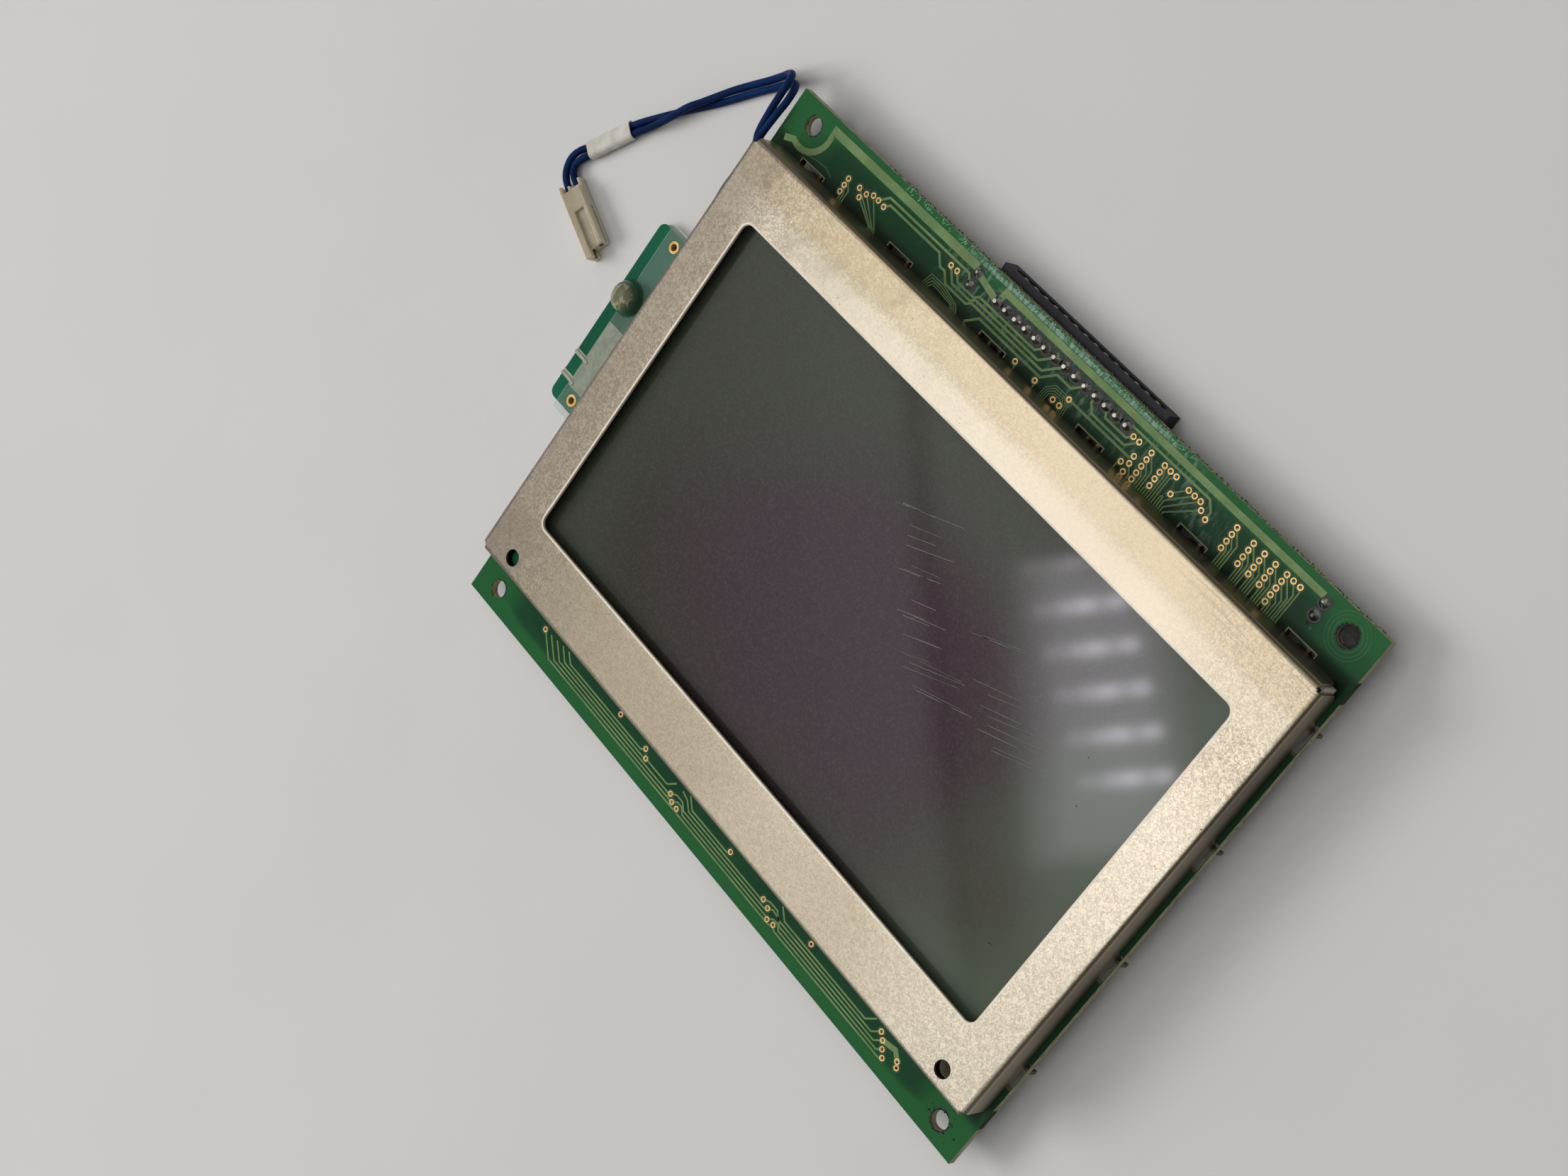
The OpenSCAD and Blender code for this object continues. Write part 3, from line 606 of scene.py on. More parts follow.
def dress(node: str, stuff: Stuff, edge: float = 0.0) -> bpy.types.Object:
    """Gives a CAD node its finish.

    Args:
        node: The node's name.
        stuff: The finish.
        edge: Width of a softened edge, in millimetres, or 0 for none.

    Returns:
        The node's object.
    """
    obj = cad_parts[node]
    obj.data.materials.clear()
    obj.data.materials.append(stuff.material())
    if edge:
        obj.modifiers.new("weld", "WELD").merge_threshold = WELD_GAP
        bevel = obj.modifiers.new("edge", "BEVEL")
        bevel.width = edge * MM
        bevel.segments = EDGE_STEPS
        bevel.limit_method = "ANGLE"
        bevel.angle_limit = EDGE_ANGLE
        bevel.harden_normals = True
    log.info("node %s in %s", node, stuff.name)
    return obj


def dress_all(**nodes: Stuff) -> None:
    """Gives several CAD nodes their finishes."""
    for node, stuff in nodes.items():
        dress(node, stuff)


def joint_x(index: int) -> float:
    """Place of one header joint along the row."""
    return JOINT_FIRST + index * PITCH


class Shape:
    """Collects faces in millimetres and turns them into one piece."""

    def __init__(self) -> None:
        """Starts with no points and no faces."""
        self.points: list[Point3] = []
        self.faces: list[tuple[int, ...]] = []

    def loft(self, rings: Sequence[Sequence[Point3]], cyclic: bool = False) -> None:
        """Skins closed rings of equal count.

        Args:
            rings: The rings in order.
            cyclic: Joins the last ring to the first; otherwise both ends are capped.
        """
        start, count = len(self.points), len(rings[0])
        self.points.extend(p for ring in rings for p in ring)
        pairs = len(rings) if cyclic else len(rings) - 1
        for i in range(pairs):
            a, b = start + i * count, start + (i + 1) % len(rings) * count
            self.faces.extend((a + j, a + (j + 1) % count, b + (j + 1) % count, b + j)
                              for j in range(count))
        if not cyclic:
            last = start + (len(rings) - 1) * count
            self.faces.append(tuple(range(start + count - 1, start - 1, -1)))
            self.faces.append(tuple(range(last, last + count)))

    def slab(self, outline: Sequence[Point2], low: float, high: float) -> None:
        """Adds a flat plate of any outline."""
        self.loft([[(*p, z) for p in outline] for z in (low, high)])

    def lathe(self, centre: Point2, profile: Sequence[Point2], sides: int = 20,
              lean: Point2 = (0.0, 0.0), cyclic: bool = False) -> None:
        """Turns a profile about an upright axis.

        Args:
            centre: Place of the axis.
            profile: Radius and height of each ring.
            sides: Facets round the axis.
            lean: Sideways shift for each millimetre of height.
            cyclic: True for a closed profile, such as a washer's.
        """
        base = profile[0][1]
        turn = [2 * math.pi * k / sides for k in range(sides)]
        self.loft([[(centre[0] + lean[0] * (z - base) + r * math.cos(t),
                     centre[1] + lean[1] * (z - base) + r * math.sin(t), z) for t in turn]
                   for r, z in profile], cyclic)

    def disc(self, centre: Point2, radius: float, low: float, high: float, sides: int) -> None:
        """Adds a flat round plate."""
        self.lathe(centre, [(radius, low), (radius, high)], sides)

    def washer(self, centre: Point2, outer: float, inner: float, low: float, high: float,
               sides: int = 20) -> None:
        """Adds a flat ring."""
        self.lathe(centre, [(inner, low), (outer, low), (outer, high), (inner, high)], sides,
                   cyclic=True)

    @staticmethod
    def bends(path: Sequence[Sequence[float]]) -> Iterator[tuple[Vector, Vector, Vector]]:
        """Each point of a path, with the directions before and after it."""
        line = [Vector(p) for p in path]
        for i, here in enumerate(line):
            before = (here - line[i - 1] if i else line[1] - here).normalized()
            after = (line[i + 1] - here).normalized() if i + 1 < len(line) else before
            yield here, before, after

    def ribbon(self, path: Sequence[Point2], width: float, low: float, high: float) -> None:
        """Adds a flat strip with mitred corners.

        Args:
            path: The strip's middle line.
            width: Width of the strip.
            low: Height of its underside.
            high: Height of its top.
        """
        rings: list[list[Point3]] = []
        for here, before, after in self.bends(path):
            across = Vector((-(before.y + after.y), before.x + after.x)).normalized()
            reach = width / 2 / max(0.5, across.dot(Vector((-before.y, before.x))))
            left, right = here + across * reach, here - across * reach
            rings.append([(*left, low), (*right, low), (*right, high), (*left, high)])
        self.loft(rings)

    def bar(self, path: Sequence[Point3], across: Point3, width: float, depth: float) -> None:
        """Adds a bent bar of rectangular section.

        Args:
            path: The bar's middle line, all in one plane.
            across: Direction square to that plane.
            width: Size along across.
            depth: Size in the plane.
        """
        side = Vector(across).normalized() * width / 2
        rings: list[list[Point3]] = []
        for here, before, after in self.bends(path):
            up = (before + after).cross(Vector(across)).normalized() * depth / 2
            rings.append([tuple(here + s * side + u * up)
                          for s, u in ((-1, -1), (1, -1), (1, 1), (-1, 1))])
        self.loft(rings)

    def piece(self, name: str, stuff: Stuff, slot: str, smooth: float = 0.0) -> bpy.types.Object:
        """Makes the piece.

        Args:
            name: The piece's name.
            stuff: Its finish.
            slot: The record's material slot that it follows; it is only logged.
            smooth: Largest angle that is shaded smooth, in degrees.

        Returns:
            The new object, riding on the module's body.
        """
        mesh = bpy.data.meshes.new(name)
        mesh.from_pydata([[c * MM for c in p] for p in self.points], [], self.faces)
        mesh.validate()
        if smooth:
            mesh.shade_smooth()
            mesh.set_sharp_from_angle(angle=math.radians(smooth))
        mesh.materials.append(stuff.material())
        return settle(linked(name, mesh), slot)


@dataclass
class LampLead:
    """The two-wire lamp lead with its sleeve, plug and crimps."""

    wire_d: float = 1.4
    round_steps: int = 6
    bend_steps: int = 8
    leaves: Point3 = (-72.5, 30.4, 3.4)
    route_a: tuple[Point3, ...] = (
        (1.9, 0.8, 0), (0.1, 0.8, 0), (-1.1, 1.1, 0), (-1.9, 2, 0), (-2.2, 3.4, -0.1),
        (-2.2, 8, -0.2), (-2.2, 12, -0.3), (-2.5, 16.4, -0.5), (-2.4, 20.8, -0.8),
        (-2.6, 24, -1.5), (-3.8, 25.9, -2.9), (-5.9, 26, -4.7), (-7.8, 24.7, -5.9),
        (-9.8, 22.7, -6.4), (-12.5, 19.9, -6.4), (-15.8, 16.2, -6.4), (-19.1, 12.6, -6.4),
        (-24.5, 7.2, -6.4), (-28.7, 2.8, -6.4), (-32.3, -1.5, -6.1), (-35.3, -6.1, -6.1),
        (-38.3, -10.7, -6.1), (-39.6, -12.4, -6.1), (-40.3, -14.2, -6), (-40.1, -16.2, -5.9),
        (-39.1, -18, -5.9), (-37.2, -19.3, -5.9), (-35.3, -20, -5.9), (-33.4, -20.7, -5.9))
    route_b: tuple[Point3, ...] = (
        (1.9, -0.8, 0), (0.1, -0.8, 0), (-1.7, -0.5, -0.3), (-2.7, 0.8, -1), (-2.9, 2.8, -1.5),
        (-2.9, 6, -1.7), (-2.9, 11.6, -1.7), (-3.3, 14.2, -1.6), (-3.8, 15.6, -1.4),
        (-4.1, 19.9, -1), (-4.1, 23.7, -0.8), (-4.6, 26.2, -1.4), (-5.8, 27.3, -2.7),
        (-7.6, 26.8, -4.3), (-9.5, 25.2, -5.5), (-11.7, 23, -6.2), (-14.7, 19.9, -6.4),
        (-17.1, 17, -6), (-19.2, 13.9, -5.3), (-21, 11.4, -5), (-22.9, 9, -4.9), (-24.9, 5.6, -5),
        (-26.9, 2.6, -5.4), (-28.9, 0.2, -5.9), (-31, -2.4, -6.1), (-34, -7, -6.1),
        (-37, -11.6, -6.1), (-38.1, -13.3, -6.1), (-38.6, -14.5, -6), (-38.5, -15.7, -5.9),
        (-37.8, -16.7, -5.9), (-36.6, -17.3, -5.9), (-34.5, -18, -5.9), (-32.7, -18.7, -5.9))
    length_a: float = 96.3
    length_b: float = 96.5

    def wire(self, name: str, node: str, route: Sequence[Point3], length: float) -> None:
        """Lays one wire.

        Args:
            name: The piece's name.
            node: The CAD node that it stands for.
            route: Points of its middle line, from where it leaves the bezel.
            length: Its real length, in millimetres; not used.
        """
        curve = bpy.data.curves.new(name, "CURVE")
        curve.dimensions = "3D"
        curve.bevel_depth = self.wire_d / 2 * MM
        curve.bevel_resolution = self.round_steps
        curve.resolution_u = self.bend_steps
        curve.use_fill_caps = True
        spline = curve.splines.new("BEZIER")
        spline.bezier_points.add(len(route) - 1)
        for knot, step in zip(spline.bezier_points, route):
            knot.co = (Vector(self.leaves) + Vector(step)) * MM
            knot.handle_left_type = knot.handle_right_type = "AUTO"
        curve.materials.append(Stuff.WIRE.material())
        obj = settle(linked(name, curve), "wire_jacket")
        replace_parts(obj, node)
        start = (Vector(self.leaves) + Vector(route[1])) * MM

    def build(self) -> None:
        """Dresses the lead's CAD pieces and lays its wires."""
        plug = dress("plug_housing", Stuff.NYLON, edge=0.15)
        sleeve = dress("marker_sleeve", Stuff.SLEEVE)
        crimps = dress("crimp_terminals", Stuff.TIN)
        for end, route, length in (("a", self.route_a, self.length_a),
                                   ("b", self.route_b, self.length_b)):
            self.wire(f"lamp_wire_{end}", f"wire_{end}", route, length)


@dataclass(frozen=True)
class TubePart:
    """One stretch of each ceiling tube, in sizes of its image in the screen."""

    name: str
    shift: float
    long: float
    glow: float
    drop: float


@dataclass
class Studio:
    """Floor, soft lights and the camera at the photograph's view."""

    eye: Point3 = (196.03, 153.67, 373.1)
    right: Point3 = (0.594888, 0.552019, -0.584281)
    up: Point3 = (-0.655779, 0.753649, 0.044351)
    lens: float = 59.94
    sensor: float = 36.0
    clip: Point2 = (0.01, 20.0)
    floor_reach: float = 3000.0
    floor_tones: tuple[str, str] = ("c4c3c1", "bdbcba")
    walls: float = 0.38
    dome: float = 1.42
    far_side: float = 0.5
    cool: Colour = (0.98, 0.98, 1.0, 1.0)
    mild: Colour = (1.0, 0.995, 0.98, 1.0)
    warm: Colour = (1.0, 0.78, 0.74, 1.0)
    beam_line: Point3 = (0.927, 1.073, 20.4)
    key_place: Point3 = (-1500.0, -1200.0, 1150.0)
    key_size: Point2 = (1300.0, 800.0)
    key_glow: float = 12.4
    ceiling: float = 700.0
    lilac: Point3 = (1.0, 0.92, 1.06)
    panels: int = 4
    panel_at: Point2 = (46.0, 19.0)
    panel_size: Point2 = (15.0, 43.0)
    panel_growth: Point2 = (4.0, 2.0)
    panel_drop: float = 4.0
    panel_glow: float = 0.85
    tubes: int = 6
    tube_across: Point2 = (-6.7, 9.85)
    tube_along: Point2 = (59.5, 2.5)
    tube_width: float = 2.0
    slant: Point2 = (0.674, 0.739)
    tube_parts: tuple[TubePart, ...] = (
        TubePart("tube", 1.0, 10.5, 7.5, 20.0), TubePart("knot", -0.8, 3.0, 7.5, 24.0),
        TubePart("end", 5.2, 2.2, 6.5, 24.0), TubePart("tail", -7.0, 5.5, 4.0, 20.0))
    first_tube: float = 0.4

    def camera(self) -> None:
        """Sets the camera up."""
        right, up = Vector(self.right), Vector(self.up)
        turn = Matrix((right, up, right.cross(up))).transposed()
        data = bpy.data.cameras.new("view")
        data.lens = self.lens
        data.sensor_width = self.sensor
        data.sensor_fit = "HORIZONTAL"
        data.clip_start, data.clip_end = self.clip
        obj = linked("view", data)
        obj.matrix_world = Matrix.Translation(Vector(self.eye) * MM) @ turn.to_4x4()
        bpy.context.scene.camera = obj

    def floor(self) -> None:
        """Lays the pale floor that the module lies on."""
        reach, level = self.floor_reach * MM, (FLOOR_Z - 0.02) * MM
        corners = ((-1, -1), (1, -1), (1, 1), (-1, 1))
        mesh = bpy.data.meshes.new("floor")
        mesh.from_pydata([(x * reach, y * reach, level) for x, y in corners], [], [(0, 1, 2, 3)])
        made = bpy.data.materials.new("floor")
        sheet = Sheet(made)
        sheet.paint(base_color=sheet.mix(*self.floor_tones, sheet.grain(60.0, detail=4)),
                    roughness=0.75, specular_ior_level=0.2)
        mesh.materials.append(made)
        linked("floor", mesh)

    def lamp(self, name: str, place: Point3, aim: Point3, along: Point3,
             size: Sequence[float], glow: float, shows: bool = True,
             tint: Point3 = (1.0, 1.0, 1.0)) -> None:
        """Hangs one soft box.

        Args:
            name: The lamp's name.
            place: Its middle, in millimetres.
            aim: The point that it faces.
            along: Direction of its first side.
            size: Its two sides, in millimetres.
            glow: Its radiance, where white paper in full light has 1.
            shows: Whether gloss mirrors it.
            tint: Its colour.
        """
        data = bpy.data.lights.new(name, "AREA")
        data.color = tint
        data.shape = "RECTANGLE"
        data.size, data.size_y = size[0] * MM, size[1] * MM
        data.energy = glow * math.pi * data.size * data.size_y
        back = (Vector(place) - Vector(aim)).normalized()
        side = (Vector(along) - back * back.dot(Vector(along))).normalized()
        turn = Matrix((side, back.cross(side), back)).transposed()
        obj = linked(name, data)
        obj.visible_glossy = shows
        obj.matrix_world = Matrix.Translation(Vector(place) * MM) @ turn.to_4x4()

    def mirrored(self, x: float, y: float, drop: float = 0.0) -> Point3:
        """The point near the ceiling that the screen mirrors to the camera at one place.

        Args:
            x: Place on the screen, along the long edges.
            y: Place on the screen, across.
            drop: Height below the ceiling.

        Returns:
            The point, in millimetres.
        """
        level = self.ceiling - drop
        share = (level - SCREEN_Z) / (self.eye[2] - SCREEN_Z)
        return x + share * (x - self.eye[0]), y + share * (y - self.eye[1]), level

    def lights(self) -> None:
        """Hangs a wide box at the far left, a soft-edged ceiling panel and a row of tubes."""
        self.lamp("key_box", self.key_place, (0, 0, 0), (1, -1, 0), self.key_size, self.key_glow,
                  shows=False)
        spread = (self.ceiling - SCREEN_Z) / (self.eye[2] - SCREEN_Z) + 1
        for k in range(self.panels):
            size = [(side + more * k) * spread
                    for side, more in zip(self.panel_size, self.panel_growth)]
            self.lamp(f"ceiling_panel_{k}", self.mirrored(*self.panel_at, self.panel_drop * k),
                      (*self.panel_at, SCREEN_Z), (1, 1, 0), size, self.panel_glow,
                      tint=self.lilac)
        for k in range(self.tubes):
            across, along = (a + b * k for a, b in (self.tube_across, self.tube_along))
            middle = Vector(((along + across) / 2, (along - across) / 2))
            for part in self.tube_parts:
                at = middle + Vector(self.slant) * part.shift
                self.lamp(f"{part.name}_{k}", self.mirrored(*at, part.drop), (*at, SCREEN_Z),
                          (*self.slant, 0.0), (part.long * spread, self.tube_width * spread),
                          part.glow if k else part.glow * self.first_tube, tint=self.lilac)

    def surround(self) -> None:
        """Lights the room, brighter overhead, with a dark beam that the screen mirrors."""
        world = bpy.data.worlds.new("studio")
        bpy.context.scene.world = world
        sheet = Sheet(world)
        toward = sheet.node("ShaderNodeTexCoord", output="Generated")
        east, north, height = (sheet.node("ShaderNodeSeparateXYZ", sockets={0: toward}, output=k)
                               for k in range(3))
        top = (height + north * 0.2).rise(0.68, 0.79)
        away = (east * 0.76 + north * 0.65).rise(-0.2, 0.15)
        rise = self.eye[2] - SCREEN_Z
        x, y = east / height * rise + self.eye[0], north / height * rise + self.eye[1]
        line = x * self.beam_line[0] + y * self.beam_line[1] - self.beam_line[2]
        beam = abs(line).rise(3.6, 0.6)
        dusk = line.rise(-9.0, 1.0) * line.rise(20.0, 12.0) * y.rise(28.0, 8.0)
        air = sheet.layers(self.cool, (self.mild, height.rise(0.3, 0.9)), (self.warm, dusk))
        level = (self.walls + top * (self.dome - self.walls)) * (1.0 - away * (1.0 - self.far_side))
        back = sheet.tree.nodes["Background"]
        sheet.feed(back.inputs["Color"], air)
        sheet.feed(back.inputs["Strength"], level * (1.0 - dusk * 0.5) * (1.0 - beam * 0.95))

    def build(self) -> None:
        """Makes the stage."""
        bpy.context.scene.view_settings.view_transform = "Standard"
        self.surround()
        self.camera()
        self.floor()
        self.lights()


@dataclass
class MainBoard:
    """The green board: its traces, vias, stains and cut edges."""

    wall: float = 47.4
    edge: float = 58.0
    lift: float = 0.035
    mark: float = 0.02
    thin: float = 0.45
    hair: float = 0.28
    collar: float = 4.6
    lane_first: float = -55.4
    lane_step: float = 0.72
    slots: tuple[float, ...] = (-62.5, -37.5, -12.5, 12.5, 37.5, 62.5)
    slot_half: float = 3.18
    slot_y: Point2 = (47.7, 48.53)
    flakes: int = 34
    via_ring: Point2 = (0.57, 0.3)
    via_moat: Point2 = (0.7, 0.56)
    via_rim: Point2 = (0.84, 0.74)
    via_bore: float = 0.32
    rear_ring: Point2 = (0.55, 0.3)
    rear_bore: float = 0.31
    hole_r: float = 1.76
    cover_steps: int = 40
    cover_r: float = 1.74
    chips: int = 16
    scuff_count: int = 190
    fray_count: int = 260
    rear_lanes: int = 8

    def skin(self, height: float) -> Point2:
        """Underside and top of something thin on the front face."""
        return BOARD_TOP, BOARD_TOP + height

    def trace(self, shape: Shape, path: Sequence[Point2], width: float) -> None:
        """Draws one raised trace on the front face."""
        shape.ribbon(path, width, *self.skin(self.lift))

    def ground(self, shape: Shape) -> None:
        """Draws the broad trace round the left hole and along the header edge."""
        turn = [math.radians(a) for a in range(-115, 25, 10)]
        arc = [(-HOLE[0] + self.collar * math.cos(a), HOLE[1] + self.collar * math.sin(a))
               for a in turn]
        for width, path in ((1.2, [(-71.5, 49.0), *arc]),
                            (1.6, [(-63.6, 56.0), (-23.4, 56.0)]),
                            (1.2, [(-22.4, 55.2), (-17.2, 54.0)]),
                            (1.25, [(-16.3, 54.6), (-16.0, 56.1), (60.6, 56.1)])):
            self.trace(shape, path, width)

    def header_runs(self, shape: Shape) -> None:
        """Draws the traces that end at header joints."""
        starts = ([(-26.3, 53.0)], [(-27.9, 53.0)],
                  [(-45.8, 52.2), (-44.8, 53.2), (-31.3, 53.2), (-29.6, 51.5), (-28.3, 51.5)])
        for i, start in enumerate(starts):
            run = 52.4 - 0.86 * i
            dip, end = run - 0.75, -20.6 - 0.3 * i
            joint = joint_x(5 + i)
            x, y = start[-1]
            self.trace(shape, [*start, (x + y - dip, dip), (end, dip), (end + 0.75, run),
                               (joint - JOINT_Y + run, run), (joint, JOINT_Y)], self.thin)
        for path in (
                [(-47.4, 52.4), (-45.7, 54.2), (-24.2, 54.2), (-22.8, 52.8)],
                [(-19.6, 47.5), (-17.4, 49.7), (-1.5, 49.7), (0.8, 52.0), (4.35, 52.0),
                 (joint_x(9), JOINT_Y)],
                [(5.3, 50.4), (20.1, 50.4), (20.8, 51.1)],
                [(joint_x(10), JOINT_Y), (joint_x(10), 52.6), (10.2, 51.3), (18.2, 51.3),
                 (20.0, 53.3)],
                [(joint_x(11), JOINT_Y), (12.6, 52.4), (17.6, 52.4), (18.6, 53.4)],
                [(joint_x(13), JOINT_Y), (17.4, 54.6), (35.8, 54.6), (37.3, 53.1), (37.3, 51.7)]):
            self.trace(shape, path, self.thin)

    def nests(self, shape: Shape) -> None:
        """Draws the two nests of hairline traces at the bezel's foot."""
        for i in range(4):
            s = 0.42 * i
            self.trace(shape, [(-30.7 + s, self.wall), (-30.0 + s, 49.6 - s),
                               (-26.8 - s / 2, 49.6 - s), (-22.6 - s, 48.6 - s / 2),
                               (-21.6 - s, self.wall)], self.hair * 0.6)
            self.trace(shape, [(0.2 + s, self.wall), (0.4 + s, 49.2 - s / 3),
                               (1.8 + s / 2, 50.6 - s), (4.6 - s / 2, 50.6 - s),
                               (5.9 - s, 49.2 - s / 3), (6.0 - s, self.wall)], self.hair * 0.5)

    def upper_vias(self) -> list[tuple[Point2, float | None]]:
        """Vias of the header strip.

        Returns:
            Each via's place, with the x where its trace meets the bezel or None.
        """
        vias: list[tuple[Point2, float | None]] = []

        def row(first: Point2, step: Point2 = (0.0, 0.0), count: int = 1,
                fan: float | None = None, pitch: float = 0.52) -> None:
            """Adds a row of vias with evenly fanned traces."""
            for k in range(count):
                place = (first[0] + k * step[0], first[1] + k * step[1])
                vias.append((place, None if fan is None else fan + k * pitch))

        row((-55.1, 48.8), (0.0, 1.35), 3, -54.7)
        row((-51.1, 50.4), (-1.0, 1.3), 2, -46.0, 0.5)
        row((-50.2, 51.7), (1.4, 0.7), 2, -45.0, 0.5)
        row((-47.4, 52.4), (1.6, -0.2), 2)
        row((-27.9, 53.0), (1.6, 0.0), 2)
        row((-7.0, 48.7), (5.1, 0.0), 2, -6.6, 5.0)
        row((2.9, 48.5), (1.6, 0.0), 2)
        row((5.3, 50.4))
        row((18.6, 53.4), (1.4, 0.0), 2)
        row((19.5, 49.0), (1.4, 0.7), 2, 19.0, 3.0)
        row((20.9, 48.0), (2.0, 0.1), 2)
        row((20.8, 51.1))
        row((22.9, 49.4), (0.0, 1.37), 4, 23.4)
        row((26.1, 49.4), (0.0, 1.37), 4, 25.5)
        row((27.5, 53.5), (1.4, 0.0), 2, 27.6)
        row((29.9, 50.8), fan=28.7)
        row((32.0, 53.3), (1.4, 0.0), 3, 29.2)
        row((35.8, 52.3), fan=30.8)
        row((37.3, 51.7))
        for x in (42.4, 46.2, 48.7, 51.2):
            row((x, 50.2), (0.0, 1.38), 4, x + 0.4)
        row((53.7, 48.9), (0.0, 1.38), 5, 54.1)
        row((55.2, 54.4), (1.5, 0.0), 2, 56.6)
        return vias

    def lower_lanes(self, shape: Shape) -> list[Point2]:
        """Draws the parallel traces of the strip across from the header.

        Args:
            shape: The shape that takes the traces.

        Returns:
            Places of the vias that they end at.
        """
        first = [(-8.0, -54.8), (-9.6, -54.6), (-10.8, -53.7), (-19.3, -53.0), (-20.5, -51.7)]
        second = [(21.3, -54.7), (19.7, -54.9), (18.5, -53.4), (16.8, -52.9), (6.0, -51.9)]
        last = [(52.6, -54.9), (51.6, -53.8), (50.7, -52.6), (49.5, -51.7), (47.4, -50.8)]
        runs = (
            ([[(-53.4 + 1.8 * k, -51.8 + 0.2 * k)] for k in range(5)], first),
            ([[first[0]], [first[1], (-8.6, -53.7), (-7.4, -53.7)],
              [first[2], (-9.6, -52.9), (-7.8, -52.9)], [(-9.0, -51.4), (-7.2, -51.9)],
              [(-7.2, -50.8)]], second),
            ([[second[0]], [second[1], (20.7, -53.9), (21.9, -53.9)],
              [second[2], (19.6, -52.8), (21.3, -53.0)],
              [second[3], (18.2, -52.2), (20.3, -52.2)], [(20.6, -50.8)]], last))
        width = self.hair * 1.15
        for starts, ends in runs:
            for k, (path, end) in enumerate(zip(starts, ends)):
                lane = self.lane_first + self.lane_step * k
                knee = path[-1][0] + 1.2 * abs(path[-1][1] - lane)
                self.trace(shape, [*path, (knee, lane), (end[0] - abs(end[1] - lane), lane), end],
                           width)
        self.trace(shape, [first[3], (-12.6, -53.0), (-11.0, -51.4)], width)
        self.trace(shape, [last[2], (53.6, -51.9), (55.1, -53.1)], 1.0)
        return [*first, *second, *last[:4], (-53.4, -51.8), (-29.1, -51.1), (29.3, -51.3),
                (55.1, -53.1), (55.7, -54.0)]

    def fan(self, shape: Shape, vias: Sequence[tuple[Point2, float | None]]) -> None:
        """Draws the hairline traces from vias to the bezel's foot."""
        for (x, y), foot in vias:
            if foot is not None:
                bend = max(y - abs(foot - x) - 0.3, self.wall + 0.4)
                self.trace(shape, [(x, y), (foot, bend), (foot, self.wall)], self.hair)

    def holes_and_rings(self, places: Sequence[Point2]) -> None:
        """Makes the gold rings, their dark bores and the mask's rims round them."""
        gold, bore, rim = Shape(), Shape(), Shape()
        for place in places:
            gold.washer(place, *self.via_ring, *self.skin(0.06))
            bore.disc(place, self.via_bore, *self.skin(self.mark), 16)
            bore.washer(place, *self.via_moat, *self.skin(0.025))
            rim.washer(place, *self.via_rim, *self.skin(0.03))
        gold.piece("via_rings", Stuff.GOLD, "gold_plate")
        bore.piece("via_bores", Stuff.BORE, "board")
        rim.piece("via_mask_rims", Stuff.RELIEF, "board")

    def residue(self) -> None:
        """Lays broken black rings round the holes, a torn cover in one, which is partly painted
        shade, and chips near another.
        """
        rng = random.Random(7)
        black = Shape()
        for sx, sy, full in ((-1, 1, 0.55), (1, 1, 1.0), (-1, -1, 0.6), (1, -1, 0.95)):
            cx, cy = sx * HOLE[0], sy * HOLE[1]
            for k in range(self.flakes):
                if rng.random() > full:
                    continue
                a = 2 * math.pi * k / self.flakes
                inner, outer = self.hole_r, 1.85 + rng.random() * 0.34 * full
                corners = ((inner, -0.11), (outer, -0.09), (outer * 1.02, 0.08), (inner, 0.11))
                black.slab([(cx + r * math.cos(a + d), cy + r * math.sin(a + d))
                            for r, d in corners], *self.skin(0.04))
        # The torn cover in the right hole is partly black residue and partly painted shade of the
        # floor under the board.
        for k in range(self.cover_steps):
            a, b = (2 * math.pi * j / self.cover_steps for j in (k, k + 1))
            depth = min(1.0, max(0.0, 0.7 - math.sin(a) * 2.0))
            inner = 0.3 + 1.15 * depth + rng.uniform(-0.12, 0.12)
            corners = ((inner, a), (self.cover_r, a), (self.cover_r, b), (inner, b))
            black.slab([(HOLE[0] + r * math.cos(t), HOLE[1] + r * math.sin(t))
                        for r, t in corners], 1.0, 1.1)
        for _ in range(self.chips):
            a, r = rng.uniform(0, 6.28), rng.uniform(2.4, 5.6)
            place = HOLE[0] + r * math.cos(a) * 0.8, -HOLE[1] + r * math.sin(a) * 0.6
            size = rng.uniform(0.08, 0.3)
            black.lathe(place, [(size, BOARD_TOP), (size * 0.7, BOARD_TOP + 0.05)],
                        rng.randint(4, 6))
        black.piece("hole_residue", Stuff.RESIDUE, "board")

    def scuffs(self) -> None:
        """Cuts pale strokes and frayed fibre along the broken-off header edge."""
        rng = random.Random(11)
        pale, fray = Shape(), Shape()
        for _ in range(self.scuff_count):
            x = rng.uniform(-44, 30)
            y = rng.uniform(56.9, 57.95)
            long, tilt = rng.uniform(0.2, 0.8), rng.uniform(0.6, 1.9)
            end = (x + long * math.cos(tilt), min(y + long * math.sin(tilt), self.edge - 0.02))
            pale.ribbon([(x, y), end], rng.uniform(0.05, 0.13), *self.skin(self.mark))
        for k in range(self.fray_count):
            x = -50 + k * 0.47 + rng.uniform(-0.2, 0.2)
            reach, half = rng.uniform(0.05, 0.32), rng.uniform(0.12, 0.3)
            z = rng.uniform(0.25, 1.2)
            ring = [(x - half, self.edge - 0.05), (x + half, self.edge - 0.05),
                    (x + half * 0.5, self.edge + reach), (x - half * 0.3, self.edge + reach)]
            fray.loft([[(*p, z) for p in ring],
                       [(*p, z + rng.uniform(0.15, 0.35)) for p in ring]])
        pale.piece("edge_scuffs", Stuff.SCUFF, "board")
        fray.piece("frayed_edge", Stuff.BOARD, "board")

